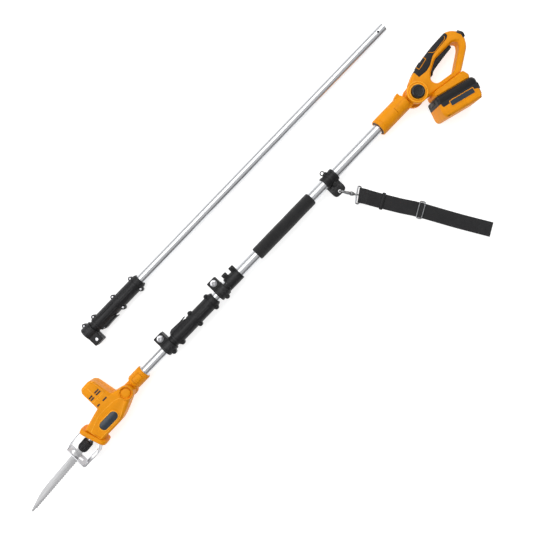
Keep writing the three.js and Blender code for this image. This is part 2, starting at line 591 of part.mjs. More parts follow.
// ---------------------------------------------------------------- strap clamp, hook and strap
const [strapLow, strapHigh] = STRAP_CLAMP_X;
const clampMiddle = (strapLow + strapHigh) / 2;
const clampBand = cut(
  join(rodX(strapLow, strapHigh, STRAP_CLAMP_R), rodZ(-10, 10, 6, [clampMiddle, 15], 14),
    rodZ(-10, 10, 6, [clampMiddle, -17], 14)),
  outerTubeWay);
const eyeAt = [TAB_HOLE[0], 23];
const wireEye = cut(rodZ(1, 4, 6.5, eyeAt, 18), rodZ(0, 5, 3.8, eyeAt, 14));
add('strap_clamp_upper', upperHalf(join(clampBand, wireEye)), BLACK);
const tabPlate = [[TAB_X[0], -12], [TAB_X[1], -12], [TAB_X[1], TAB_Y, 10], [TAB_X[0], TAB_Y, 10]];
const tabLow = -GAP / 2 - TAB_THICK;
const tab = cut(plate(tabPlate, tabLow, -GAP / 2), rodZ(-BIG, BIG, TAB_HOLE_R, TAB_HOLE, 18), outerTubeWay);
add('strap_clamp_lower', join(lowerHalf(clampBand), tab), BLACK);

// The hook's own frame: x runs from the tab's hole to the webbing, and the loop stands in its xz plane.
const hook = frameAt(TAB_HOLE, HOOK_HEADING);
const HOOK_Z = tabLow + TAB_THICK / 2;
hook.position.z = HOOK_Z;
const hookBody = new THREE.Group();
hookBody.rotation.y = degrees(HOOK_PITCH);
hook.add(hookBody);
const standingRing = (radius, wire, sides, x) => {
  const ring = new THREE.TorusGeometry(radius, wire, 6, sides);
  return ring.rotateX(Math.PI / 2).translate(x, 0, 0);
};
const loop = standingRing(HOOK_LOOP_R, HOOK_WIRE_R, 18, HOOK_LOOP_R);
const barrel = join(rodX(2 * HOOK_LOOP_R - 1, 2 * HOOK_LOOP_R + 12, 2.6, 0, 0, 14),
  rodX(2 * HOOK_LOOP_R + 11, 2 * HOOK_LOOP_R + 22, 4.6, 0, 0, 16, 4.2));
const eyeX = HOOK_LENGTH - 5;
const hookEye = standingRing(5.2, 1.7, 12, eyeX);
const hookShank = rodX(2 * HOOK_LOOP_R + 20, eyeX - 4.4, 2.2, 0, 0, 12);
add('snap_hook', join(loop, barrel, hookShank, hookEye), CHROME, hookBody);

// A rectangle of wire that passes through the hook's eye and through the webbing's fold.
const RING_HALF = STRAP_WIDTH / 2 + 3;
const ringNear = eyeX + 1;
const ringFar = ringNear + 9;
function wireRing(x0, x1, half, wire) {
  const side = (y) => rodX(x0, x1, wire, y, 0, 8);
  const bar = (x) => rodY(-half, half, wire, x, 0, 8);
  const knobs = [[x0, -half], [x0, half], [x1, -half], [x1, half]].map(([x, y]) =>
    new THREE.SphereGeometry(wire * 1.02, 6, 4).translate(x, y, 0));
  return join(side(-half), side(half), bar(x0), bar(x1), ...knobs);
}
add('strap_ring', wireRing(ringNear, ringFar, RING_HALF, RING_WIRE_R), CHROME, hookBody);

// Webbing: a doubled band from the ring down to the floor and along it, as [x, y, height, heading] stations.
const floorHeight = FLOOR_Z + STRAP_THICK / 2;
const alongHook = (distance) => {
  const flat = distance * Math.cos(degrees(HOOK_PITCH));
  const x = TAB_HOLE[0] + flat * Math.cos(degrees(HOOK_HEADING));
  const y = TAB_HOLE[1] + flat * Math.sin(degrees(HOOK_HEADING));
  return [x, y, HOOK_Z - distance * Math.sin(degrees(HOOK_PITCH)), HOOK_HEADING];
};
const strapFold = ringFar + RING_WIRE_R + GAP;
const STRAP_STATIONS = [alongHook(strapFold), alongHook(strapFold + 10),
  [1155, -101.5, FLOOR_Z + 10.5, -57.5], [1162, -113, FLOOR_Z + 6, -59],
  [1170, -126.5, floorHeight + 1, -60], [1178, -140.5, floorHeight, -60.6],
  [SLIDER_X, SLIDER_Y, floorHeight, STRAP_HEADING], [1316.6, -386.9, floorHeight, STRAP_HEADING]];
function ribbon(stations, width, thickness) {
  const corners = stations.flatMap(([x, y, z, heading]) => {
    const across = [-Math.sin(degrees(heading)) * (width / 2), Math.cos(degrees(heading)) * (width / 2)];
    return [[1, -1], [1, 1], [-1, 1], [-1, -1]].map(([side, up]) =>
      [x + side * across[0], y + side * across[1], z + (up * thickness) / 2]);
  });
  const faces = [[0, 2, 1], [0, 3, 2]];
  const last = (stations.length - 1) * 4;
  faces.push([last, last + 1, last + 2], [last, last + 2, last + 3]);
  for (let i = 0; i + 1 < stations.length; i += 1) {
    for (let k = 0; k < 4; k += 1) {
      const [a, b] = [i * 4 + k, i * 4 + ((k + 1) % 4)];
      faces.push([a, b, a + 4], [b, b + 4, a + 4]);
    }
  }
  const geometry = new THREE.BufferGeometry();
  geometry.setAttribute('position', new THREE.BufferAttribute(new Float32Array(corners.flat()), 3));
  geometry.setIndex(faces.flat());
  return geometry;
}
add('shoulder_strap', ribbon(STRAP_STATIONS, STRAP_WIDTH, STRAP_THICK), WEBBING);

// The slider lies on the webbing.
const sliderFrame = frameAt([SLIDER_X, SLIDER_Y], STRAP_HEADING);
sliderFrame.position.z = floorHeight + STRAP_THICK / 2 + RING_WIRE_R + GAP;
const sliderBody = join(wireRing(-6.5, 6.5, STRAP_WIDTH / 2 + 2.5, RING_WIRE_R - 0.4),
  rodY(-STRAP_WIDTH / 2 - 2.5, STRAP_WIDTH / 2 + 2.5, RING_WIRE_R - 0.4, 0, 0, 10));
add('strap_slider', sliderBody, CHROME, sliderFrame);

// ---------------------------------------------------------------- handle socket
const [socketLow, socketHigh] = SOCKET_X;
const bushEnd = socketLow + 2 + SOCKET_BUSH_LENGTH;
function socketBody() {
  const knuckle = rodZ(-HANDLE_KNUCKLE_HALF, HANDLE_KNUCKLE_HALF, HANDLE_KNUCKLE_R, HANDLE_PIVOT, 20);
  const neck = block(socketHigh - 8, HANDLE_PIVOT[0], -22, 8, -HANDLE_KNUCKLE_HALF, HANDLE_KNUCKLE_HALF);
  const crest = [[socketHigh - 24, 12], [socketHigh - 18, 22, 6], [socketHigh - 5, 27, 4],
    [socketHigh, 27, 2], [socketHigh, 12]];
  const body = join(rodX(socketLow, socketLow + 4, SOCKET_R - 1.5, 0, 0, TUBE_SIDES, SOCKET_R),
    rodX(socketLow + 4, socketHigh, SOCKET_R), plate(crest, -10, 10), knuckle, neck);
  const bushRoom = rodX(socketLow - 1, bushEnd + GAP, SOCKET_BUSH_R + GAP);
  const hollow = rodX(bushEnd, socketHigh - 16, SOCKET_R - 3.5);
  return cut(body, bushRoom, hollow, rodZ(-BIG, BIG, KNOB_STEM_R + GAP, HANDLE_PIVOT, 12));
}
const socket = socketBody();
add('socket_shell_upper', upperHalf(socket), ORANGE);
add('socket_shell_lower', lowerHalf(socket), ORANGE);
add('socket_bush', pipeX(socketLow + 2, bushEnd, SOCKET_BUSH_R, OUTER_R + GAP), BLACK);

// ---------------------------------------------------------------- handle
const HANDLE_OUTLINE = [[1416, 19.5], [1446, 33, 6], [1496, 43, 20], [1526, 46, 20], [1571, 47, 6],
  [1588, 38, 10], [1603, 14, 8], [1588, -15, 12], [1556, -35, 12], [1528, -52, 8], [1476, -44, 14],
  [1440, -37, 8], [1422, -33, 4]];
const HAND_OPENING = [[1462, -12, 8], [1468, -29, 8], [1520, -38, 6], [1571, -5, 6], [1579, 6, 4],
  [1570, 17, 6], [1508, 18, 8], [1476, 2, 6]];
const OVERMOULD_OUTLINE = [[1446, 60], [1572, 60], [1570, 36, 3], [1562, 32, 4], [1510, 28.5, 8],
  [1486, 15, 6], [1470, 12, 4], [1447, 15]];
const POCKET_OUTLINE = [[1474, -14], [1480, 14, 3], [1500, 35, 4], [1558, 39, 3], [1563, 34, 2], [1563, 0]];
const BUMPER_OUTLINE = [[1592, 34], [1620, 34], [1620, -4], [1597, 0]];

const handlePlain = join(plate(HANDLE_OUTLINE, -HANDLE_HALF, HANDLE_HALF, HANDLE_EDGE, [HAND_OPENING]),
  rodZ(-HANDLE_DISC_HALF, HANDLE_DISC_HALF, HANDLE_DISC_R, HANDLE_PIVOT, 28));
const knuckleGap = HANDLE_KNUCKLE_HALF + RUN;
const hingeRoom = join(rodZ(-knuckleGap, knuckleGap, HANDLE_KNUCKLE_R + 1.4, HANDLE_PIVOT, 20),
  block(HANDLE_PIVOT[0] - 40, HANDLE_PIVOT[0] + 6, -BIG, BIG, -knuckleGap, knuckleGap));
function skinCore(grow) {
  const half = HANDLE_HALF - OVERMOULD_SKIN + grow;
  return plate(inset(HANDLE_OUTLINE, OVERMOULD_SKIN - grow), -half, half, HANDLE_EDGE - OVERMOULD_SKIN / 2);
}
const skinRegion = (shrink) => plate(inset(OVERMOULD_OUTLINE, shrink), -BIG, BIG);
const bumperRegion = (shrink) => cut(plate(inset(BUMPER_OUTLINE, shrink), -BIG, BIG),
  plate(inset(HANDLE_OUTLINE, 3 - shrink), -BIG, BIG));
const triggerPocket = plate(POCKET_OUTLINE, -TRIGGER_HALF - RUN, TRIGGER_HALF + RUN);

// The lock slider runs along the top edge of the handle.
const SLIDER_AT = [1471, 35.2];
const SLIDER_TILT = 11.5;
const slotWay = block(-9 - RUN, 9 + SLIDER_TRAVEL + RUN, -4, 9, -SLIDER_HALF - RUN, SLIDER_HALF + RUN);
const sliderSlot = placed(slotWay, SLIDER_AT, SLIDER_TILT);

const knobRecess = rodZ(HANDLE_DISC_HALF - 3, BIG, KNOB_R + RUN, HANDLE_PIVOT, 20);
const handleHole = rodZ(-HANDLE_DISC_HALF + 4, BIG, KNOB_STEM_R + GAP, HANDLE_PIVOT, 12);
const skinRoom = cut(skinRegion(0), skinCore(0));
const handleRooms = [hingeRoom, skinRoom, bumperRegion(0), triggerPocket, sliderSlot, knobRecess, handleHole];
const handleBody = cut(handlePlain, ...handleRooms);
add('handle_shell_upper', upperHalf(handleBody), ORANGE);
add('handle_shell_lower', lowerHalf(handleBody), ORANGE);
const overmould = cut(common(handlePlain, skinRegion(GAP)), skinCore(GAP), sliderSlot, triggerPocket);
add('grip_overmould', overmould, RUBBER);
add('rear_bumper', common(handlePlain, bumperRegion(GAP)), RUBBER);

const knobBase = HANDLE_DISC_HALF - 3 + KNOB_TRAVEL;
add('hinge_knob', join(rodZ(knobBase, knobBase + KNOB_HEIGHT - 2, KNOB_R, HANDLE_PIVOT, 20),
  rodZ(knobBase + KNOB_HEIGHT - 3, knobBase + KNOB_HEIGHT, KNOB_R - 2.5, HANDLE_PIVOT, 20),
  rodZ(-HANDLE_DISC_HALF + 4 + KNOB_TRAVEL + GAP, knobBase + 1, KNOB_STEM_R, HANDLE_PIVOT, 12)), BLACK);

const TRIGGER_OUTLINE = [[1476.5, -7, 3], [1486, 0, 6], [1526, 6, 10], [1561, 9, 2], [1561, TRIGGER_TOP],
  [1506, TRIGGER_TOP, 3], [1484, 12, 4]];
add('trigger', plate(TRIGGER_OUTLINE, -TRIGGER_HALF, TRIGGER_HALF, 1.5), BLACK);
const switchLow = TRIGGER_TOP + TRIGGER_TRAVEL + GAP;
add('trigger_switch', block(1512, 1546, switchLow, 35, -TRIGGER_HALF, TRIGGER_HALF), BLACK);

const slider = frameAt(SLIDER_AT, SLIDER_TILT);
const sliderTeeth = [-8, -4, 0, 4, 8].map((x) => block(x - 1, x + 1, 3, 4.6, -SLIDER_HALF, SLIDER_HALF));
const sliderPlate = block(-9, 9, -4 + GAP, 3.2, -SLIDER_HALF, SLIDER_HALF);
add('lock_slider', join(sliderPlate, ...sliderTeeth), BLACK, slider);

// ---------------------------------------------------------------- battery and its foot
const battery = frameAt(BATTERY_CORNER, BATTERY_TILT);
const [tongueNeck, tongueHead] = TONGUE_HALF;
const [neckHeight, tongueHeight] = TONGUE_HEIGHT;
function footBody() {
  const side = [[6, GAP, 2], [100, GAP, 2], [103, 9, 3], [95, 24, 4], [42, 18, 20], [11, 15.5, 4], [4, 8, 3]];
  const seatHalf = HANDLE_HALF + GAP;
  const seat = plate(inset(HANDLE_OUTLINE, -GAP), -seatHalf, seatHalf, HANDLE_EDGE, [HAND_OPENING]);
  const [cornerX, cornerY] = BATTERY_CORNER;
  const seatHere = seat.translate(-cornerX, -cornerY, 0).rotateZ(degrees(-BATTERY_TILT));
  const channel = join(block(8, 140, -5, neckHeight, -tongueNeck - RUN, tongueNeck + RUN),
    block(8, 140, neckHeight - RUN, tongueHeight + RUN, -tongueHead - RUN, tongueHead + RUN));
  return cut(plate(side, -FOOT_HALF, FOOT_HALF, 3), channel, seatHere);
}
add('battery_foot', footBody(), ORANGE, battery);

const buttonRoom = block(-10, 7, -13, -3, -BUTTON_HALF - RUN, BUTTON_HALF + RUN);
const packFloor = -BATTERY_HEIGHT + BATTERY_WALL;
const roomHalf = BATTERY_HALF - BATTERY_WALL;
const cellsRoom = block(3, BATTERY_LENGTH - 4, packFloor, -COVER_HEIGHT + 7, -roomHalf, roomHalf);
function batteryBox(side) {
  return plate(side, -BATTERY_HALF, BATTERY_HALF, BATTERY_EDGE);
}
const wholePack = batteryBox([[0, 0, 6], [BATTERY_LENGTH - 6, 0, 5], [BATTERY_LENGTH, -9, 5],
  [BATTERY_LENGTH - 5, -BATTERY_HEIGHT, 8], [1, -BATTERY_HEIGHT, 8], [-4, -BATTERY_HEIGHT + 10, 6]]);
const coverPart = common(wholePack, block(-60, 200, -COVER_HEIGHT, 40, -BIG, BIG));
const casePart = common(wholePack, block(-60, 200, -100, -COVER_HEIGHT - GAP, -BIG, BIG));
const tongue = join(block(14, 92, -2, neckHeight + 1, -tongueNeck, tongueNeck),
  block(14, 92, neckHeight, tongueHeight, -tongueHead, tongueHead));
add('battery_cover', cut(join(coverPart, tongue), buttonRoom, cellsRoom), BLACK, battery);
add('battery_case', cut(casePart, cellsRoom), ORANGE, battery);
const buttonSide = [[-2.5, -12.6, 2], [3.5, -12.6], [3.5, -3.4], [-1, -3.4, 2]];
add('battery_button', plate(buttonSide, -BUTTON_HALF, BUTTON_HALF), BLACK, battery);
const cells = Array.from({ length: CELL_COUNT }, (_, i) => {
  const x = 3 + 11 + i * (2 * CELL_R + 1);
  return rodZ(-CELL_LENGTH / 2, CELL_LENGTH / 2, CELL_R, [x, packFloor + CELL_R + 4], 12);
});
const cellTray = block(4, BATTERY_LENGTH - 5, packFloor + GAP, packFloor + 9, -20, 20);
add('battery_cells', join(cellTray, ...cells), LABEL, battery);

// ---------------------------------------------------------------- spare extension pole
const extension = new THREE.Group();
extension.position.set(EXTENSION_X, EXTENSION_AXIS[0], EXTENSION_AXIS[1]);
extension.rotation.x = Math.PI;
group.add(extension);
const extensionPlug = addCoupler('extension', EXTENSION_COUPLER_LENGTH, extension);
const extensionTubeStart = extensionPlug + PLUG_LENGTH + GAP;
const endHole = rodZ(-BIG, 0, 3, [EXTENSION_END - EXTENSION_X - 22, 0], 12);
const sparePipe = pipeX(extensionTubeStart, EXTENSION_END - EXTENSION_X, INNER_R, INNER_R - INNER_WALL);
add('extension_tube', cut(sparePipe, endHole), ALUMINIUM, extension);

// ---------------------------------------------------------------- the part's own frame
// The origin is the middle of the bounding box, on the floor.
group.updateMatrixWorld(true);
const bounds = new THREE.Box3().setFromObject(group, true);
group.position.set(-(bounds.min.x + bounds.max.x) / 2, -(bounds.min.y + bounds.max.y) / 2, -bounds.min.z);

export default group;
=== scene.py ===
"""The looks of a telescoping pole saw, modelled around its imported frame.

Lengths inside the operators are in millimetres along the pole: x from the blade's tip, y to the side of
the motor housing, z up, with the pole's axis at y = 0 and z = 0. at() turns such a place into metres.
"""
import json
import math

import bmesh
import bpy
from mathutils import Matrix, Vector


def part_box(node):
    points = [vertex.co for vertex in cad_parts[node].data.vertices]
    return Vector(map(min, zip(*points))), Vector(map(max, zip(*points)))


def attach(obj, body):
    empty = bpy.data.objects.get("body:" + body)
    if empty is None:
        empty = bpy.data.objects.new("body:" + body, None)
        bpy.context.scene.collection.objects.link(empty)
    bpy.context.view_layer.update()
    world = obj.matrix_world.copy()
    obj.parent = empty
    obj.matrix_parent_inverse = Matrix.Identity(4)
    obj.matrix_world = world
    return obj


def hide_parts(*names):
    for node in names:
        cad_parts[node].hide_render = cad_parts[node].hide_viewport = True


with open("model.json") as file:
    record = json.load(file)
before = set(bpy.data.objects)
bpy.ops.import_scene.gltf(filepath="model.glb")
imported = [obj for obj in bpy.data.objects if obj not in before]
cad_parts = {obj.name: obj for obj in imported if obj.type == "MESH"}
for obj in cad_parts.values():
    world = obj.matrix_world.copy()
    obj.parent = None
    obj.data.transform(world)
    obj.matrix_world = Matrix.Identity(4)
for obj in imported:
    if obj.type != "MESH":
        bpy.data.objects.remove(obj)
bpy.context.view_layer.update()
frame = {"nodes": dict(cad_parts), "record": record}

bl_info = {
    "name": "Pole Saw Pieces",
    "version": (1, 0, 0),
    "blender": (4, 5, 0),
    "location": "3D View > Sidebar > Pole Saw",
    "description": "Models the shells, tubes, straps and fittings of a telescoping pole saw around its frame",
    "category": "Object",
}

MM = 0.001
OUTER_TUBE_START = 744
TUBE_LOW, TUBE_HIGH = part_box("outer_tube")
DATUM = Vector((TUBE_LOW.x - OUTER_TUBE_START * MM, (TUBE_LOW.y + TUBE_HIGH.y) / 2, (TUBE_LOW.z + TUBE_HIGH.z) / 2))
FLOOR = -DATUM.z / MM
GAP = 0.3

# Where the tilted groups stand, in the same millimetres.
BLADE_ROOT, BLADE_TILT = (200, -22.5), 3.4
NOSE_FRONT, NOSE_TILT = (243.4, -23.3), 16.9
HEAD_PIVOT = (387, -5)
HANDLE_PIVOT = (1415, -8)
BATTERY_CORNER, BATTERY_TILT = (1431, -49), -15.5
EXTENSION_AT = (408, 169, -16.5)
COUPLER_AT = (523, 0, 0)
HOOK_AT, HOOK_HEADING, HOOK_PITCH = (1112, -39.5, -2.15), -55, 16


def at(x, y=0.0, z=0.0):
    """A place along the pole, in metres of the frame."""
    return DATUM + Vector((x, y, z)) * MM


# ---------------------------------------------------------------- sizes and colours a user would change
def colour_property(name, description, default):
    return bpy.props.FloatVectorProperty(name=name, description=description, default=default, subtype="COLOR",
                                         size=3, min=0, max=1)


class SawColours(bpy.types.PropertyGroup):
    shell: colour_property("Shell", "Colour of the orange shells", (0.80, 0.285, 0.0))
    black: colour_property("Black plastic", "Colour of the clamps and couplers", (0.0075, 0.0075, 0.0085))
    rubber: colour_property("Rubber", "Colour of the grip's overmould", (0.018, 0.0185, 0.021))
    foam: colour_property("Foam", "Colour of the foam grip", (0.006, 0.006, 0.0065))
    webbing: colour_property("Webbing", "Colour of the shoulder strap", (0.0055, 0.0055, 0.0065))
    plate: colour_property("Name plate", "Colour of the blank name plates", (0.022, 0.032, 0.046))
    aluminium: colour_property("Aluminium", "Colour of the tubes", (0.72, 0.73, 0.75))


def length_property(name, description, default, low, high):
    return bpy.props.FloatProperty(name=name, description=description, default=default, unit="LENGTH", min=low,
                                   max=high)


class SawSizes(bpy.types.PropertyGroup):
    tube_wall: length_property("Tube wall", "Wall thickness of the tubes", 0.0011, 0.0005, 0.003)
    strap_width: length_property("Strap width", "Width of the webbing", 0.038, 0.02, 0.045)
    strap_thickness: length_property("Strap thickness", "Thickness of one layer of webbing", 0.0015, 0.0008, 0.0025)
    camera_height: length_property("Camera height", "Height of the camera over the pole", 1.3, 0.5, 5)


# ---------------------------------------------------------------- modelling by hand
def clear():
    """Leaves edit mode and selects nothing."""
    if bpy.context.object and bpy.context.object.mode != "OBJECT":
        bpy.ops.object.mode_set(mode="OBJECT")
    bpy.ops.object.select_all(action="DESELECT")


def only(piece):
    clear()
    piece.select_set(True)
    bpy.context.view_layer.objects.active = piece


def edit():
    """Enters edit mode with everything selected."""
    bpy.ops.object.mode_set(mode="EDIT")
    bpy.ops.mesh.select_all(action="SELECT")


def leave_edit(outwards=True):
    """Turns every face outwards, unless told not to, and leaves edit mode."""
    if outwards:
        bpy.ops.mesh.select_all(action="SELECT")
        bpy.ops.mesh.normals_make_consistent(inside=False)
    bpy.ops.object.mode_set(mode="OBJECT")
    return bpy.context.object


def apply_place(piece):
    only(piece)
    bpy.ops.object.transform_apply(location=True, rotation=True, scale=True)
    return piece


def modified(piece, kind, **settings):
    """Adds a modifier, sets it and applies it."""
    only(piece)
    modifier = piece.modifiers.new(kind.lower(), kind)
    for name, value in settings.items():
        setattr(modifier, name, value)
    bpy.ops.object.modifier_apply(modifier=modifier.name)
    return piece


def bevelled(piece, width, segments=2, angle=28):
    return modified(piece, "BEVEL", width=width * MM, segments=segments, limit_method="ANGLE",
                    angle_limit=math.radians(angle), harden_normals=False, use_clamp_overlap=True)


def cut(piece, *tools):
    return combined(piece, "DIFFERENCE", tools)


def welded(piece, *tools):
    return combined(piece, "UNION", tools)


def combined(piece, operation, tools):
    for tool in tools:
        modified(piece, "BOOLEAN", object=tool, operation=operation, solver="EXACT")
        bpy.data.objects.remove(tool)
    return piece


def turned(stations, centre=(0, 0, 0), axis="X", sides=64, hollow=False):
    """A piece turned about an axis: a circle pushed along and scaled from one (along, radius) to the next."""
    clear()
    quarter = math.pi / 2
    rotation = {"X": (0, quarter, 0), "Y": (-quarter, 0, 0), "Z": (0, 0, 0)}[axis]
    direction = Vector([letter == axis for letter in "XYZ"])
    along, radius = stations[0]
    bpy.ops.mesh.primitive_circle_add(vertices=sides, radius=radius * MM, rotation=rotation)
    piece = apply_place(bpy.context.object)
    edit()
    bpy.ops.transform.translate(value=direction * along * MM)
    for next_along, next_radius in stations[1:]:
        step = direction * (next_along - along) * MM
        bpy.ops.mesh.extrude_region_move(TRANSFORM_OT_translate={"value": step})
        if next_radius != radius:
            share = next_radius / radius
            scale = [1 if letter == axis else share for letter in "XYZ"]
            bpy.ops.transform.resize(value=scale, center_override=direction * next_along * MM)
        along, radius = next_along, next_radius
    bpy.ops.mesh.select_all(action="DESELECT")
    bpy.ops.mesh.select_non_manifold()
    if hollow:
        bpy.ops.mesh.bridge_edge_loops()
    else:
        bpy.ops.mesh.fill_holes(sides=0)
    leave_edit()
    piece.location = Vector(centre) * MM
    return apply_place(piece)


def block(low, high, edge=0.0, segments=2):
    """A block between two corners, with its edges rounded in edit mode."""
    clear()
    low, high = Vector(low), Vector(high)
    bpy.ops.mesh.primitive_cube_add(size=1, location=(low + high) / 2 * MM)
    piece = bpy.context.object
    piece.scale = (high - low) * MM
    apply_place(piece)
    if edge:
        edit()
        bpy.ops.mesh.bevel(offset=edge * MM, segments=segments, affect="EDGES")
        leave_edit(outwards=False)
    return piece


def slab(outline, low, high):
    """An outline of (x, y) points given a thickness: a filled plane, extruded upwards."""
    clear()
    bpy.ops.mesh.primitive_circle_add(vertices=len(outline), radius=MM, fill_type="NGON")
    for vertex, (x, y) in zip(bpy.context.object.data.vertices, outline):
        vertex.co = Vector((x, y, low)) * MM
    edit()
    bpy.ops.mesh.extrude_region_move(TRANSFORM_OT_translate={"value": (0, 0, (high - low) * MM)})
    return leave_edit()


def joined(*pieces):
    """Several separate solids in one piece."""
    clear()
    for piece in pieces:
        piece.select_set(True)
    bpy.context.view_layer.objects.active = pieces[0]
    bpy.ops.object.join()
    return pieces[0]


def copied(piece, matrix):
    """A copy with its own mesh, moved by a matrix."""
    only(piece)
    bpy.ops.object.duplicate(linked=False)
    twin = bpy.context.object
    twin.data.transform(matrix)
    if matrix.determinant() < 0:
        twin.data.flip_normals()
    return twin


def on_both_faces(piece):
    """A piece and its mirror image under the parting plane, joined."""
    return joined(piece, copied(piece, Matrix.Scale(-1, 4, (0, 0, 1))))


def moved(piece, x=0.0, y=0.0, z=0.0, heading=0.0, pitch=0.0):
    """Stands a piece modelled at the zero point at its place, turned by degrees."""
    piece.rotation_euler = (0, math.radians(pitch), math.radians(heading))
    piece.location = Vector((x, y, z)) * MM
    return apply_place(piece)


def wire(points, radius, closed=False, sides=12):
    """A bent wire through (x, y, z) points: a curve with a round section, made a mesh."""
    clear()
    bpy.ops.curve.primitive_bezier_curve_add()
    data = bpy.context.object.data
    spline = data.splines[0]
    spline.bezier_points.add(len(points) - 2)
    for knot, point in zip(spline.bezier_points, points):
        knot.co = Vector(point) * MM
        knot.handle_left_type = knot.handle_right_type = "AUTO"
    spline.use_cyclic_u = closed
    spline.resolution_u = 6
    data.dimensions = "3D"
    data.bevel_depth = radius * MM
    data.bevel_resolution = sides // 4
    data.use_fill_caps = not closed
    bpy.ops.object.convert(target="MESH")
    edit()
    bpy.ops.mesh.remove_doubles(threshold=0.02 * MM)
    return leave_edit()


def from_frame(node_name):
    """A copy of a frame node with its own merged mesh, for rounding."""
    piece = bpy.data.objects.new(node_name + "_shape", frame["nodes"][node_name].data.copy())
    bpy.context.scene.collection.objects.link(piece)
    only(piece)
    edit()
    bpy.ops.mesh.remove_doubles(threshold=0.01 * MM)
    bpy.ops.mesh.dissolve_limited(angle_limit=math.radians(0.5))
    return leave_edit(outwards=False)


def finished(piece, name, body, slot, nodes=(), paint=None, here=False, smooth=30):
    """Names, places, shades and paints a piece, and hands it to its body."""
    if not here:
        piece.data.transform(Matrix.Translation(DATUM))
    piece.name = name
    piece.data.name = name
    only(piece)
    bpy.ops.object.shade_smooth_by_angle(angle=math.radians(smooth))
    piece.data.materials.clear()
    piece.data.materials.append(PAINTS[paint or slot])
    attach(piece, body)
    if nodes:
        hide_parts(*nodes)
    return piece


# ---------------------------------------------------------------- shader effects shared by the materials
def feed(tree, target, values):
    """Gives a node its inputs: a socket is linked, anything else is a value."""
    for key, value in values.items():
        if isinstance(value, bpy.types.NodeSocket):
            tree.links.new(value, target.inputs[key])
        else:
            target.inputs[key].default_value = value


def node(tree, kind, inputs=(), **settings):
    """A shader node with its settings and its inputs."""
    made = tree.nodes.new("ShaderNode" + kind)
    for name, value in settings.items():
        setattr(made, name, value)
    feed(tree, made, dict(inputs))
    return made


def new_group(name, inputs, outputs):
    """A node group of numbers, each with its default, that gives back a normal or numbers."""
    group = bpy.data.node_groups.new(name, "ShaderNodeTree")
    for title, default in inputs.items():
        socket = group.interface.new_socket(title, in_out="INPUT", socket_type="NodeSocketFloat")
        socket.default_value = default
    for title in outputs:
        kind = "NodeSocketVector" if title == "Normal" else "NodeSocketFloat"
        group.interface.new_socket(title, in_out="OUTPUT", socket_type=kind)
    given = group.nodes.new("NodeGroupInput").outputs
    end = group.nodes.new("NodeGroupOutput")
    return group, given, end, here_in(group)


def here_in(tree):
    return node(tree, "TexCoord").outputs["Object"]


def noise(tree, place, scale, detail, roughness=0.5):
    inputs = {"Vector": place, "Scale": scale, "Detail": detail, "Roughness": roughness}
    return node(tree, "TexNoise", inputs).outputs["Fac"]


def cells(tree, place, scale, feature="F1"):
    return node(tree, "TexVoronoi", {"Vector": place, "Scale": scale}, feature=feature).outputs["Distance"]


def bump(tree, strength, distance, height):
    return node(tree, "Bump", {"Strength": strength, "Distance": distance, "Height": height}).outputs["Normal"]


def maths(tree, operation, first, second=0.0, clamp=False):
    return node(tree, "Math", {0: first, 1: second}, operation=operation, use_clamp=clamp).outputs[0]


def times(tree, first, second):
    return maths(tree, "MULTIPLY", first, second)


def ranged(tree, value, from_low, from_high, to_low=0.0, to_high=1.0):
    inputs = {"Value": value, "From Min": from_low, "From Max": from_high, "To Min": to_low, "To Max": to_high}
    return node(tree, "MapRange", inputs).outputs["Result"]


def mixed(tree, share, *colours):
    first, second = (colour if isinstance(colour, bpy.types.NodeSocket) else (*colour[:3], 1) for colour in colours)
    return node(tree, "Mix", {0: share, 6: first, 7: second}, data_type="RGBA").outputs[2]


def stretched(tree, place, scale, turn=(0, 0, 0)):
    return node(tree, "Mapping", {"Vector": place, "Rotation": turn, "Scale": scale}).outputs["Vector"]


def moulded_grain():
    """Fine spark-eroded grain of a moulded skin, with slow patches of more and less gloss."""
    group, given, end, place = new_group("moulded_grain", {"Size": 900.0, "Depth": 0.3, "Roughness": 0.45},
                                         ("Normal", "Roughness", "Patches"))
    sand = times(group, noise(group, place, 2400.0, 2.0), 0.5)
    height = maths(group, "ADD", cells(group, place, given["Size"]), sand)
    patches = ranged(group, noise(group, place, 38.0, 4.0, 0.6), 0.35, 0.7)
    gloss = times(group, maths(group, "SUBTRACT", patches, 0.5), 0.12)
    feed(group, end, {"Normal": bump(group, given["Depth"], 0.00012, height), "Patches": patches,
                      "Roughness": maths(group, "ADD", given["Roughness"], gloss, clamp=True)})
    return group


def edge_wear_and_highlight():
    """Convex places, broken up by noise: where an edge is rubbed, and also a painted highlight where a material
    lightens its edges for that, as on the black plastic and the ridges.
    """
    group, given, end, place = new_group("edge_wear_and_highlight", {"Start": 0.52, "Amount": 0.5}, ("Mask",))
    edge = ranged(group, node(group, "NewGeometry").outputs["Pointiness"], given["Start"], 0.62)
    broken = ranged(group, noise(group, place, 260.0, 5.0, 0.7), 0.4, 0.65)
    feed(group, end, {"Mask": maths(group, "MULTIPLY", times(group, edge, broken), given["Amount"], True)})
    return group


def fine_scratches():
    """Sparse hairline scratches in two directions, as a mask."""
    group, given, end, place = new_group("fine_scratches", {"Density": 0.5}, ("Mask",))
    lines = []
    for turn, scale in ((0.5, (30, 1400, 900)), (-0.9, (1300, 26, 1000))):
        streak = noise(group, stretched(group, place, scale, (0.2, 0.1, turn)), 1.0, 1.0)
        lines.append(ranged(group, streak, 0.68, 0.76))
    allowed = maths(group, "LESS_THAN", noise(group, place, 60.0, 2.0), given["Density"])
    feed(group, end, {"Mask": times(group, maths(group, "MAXIMUM", *lines), allowed)})
    return group


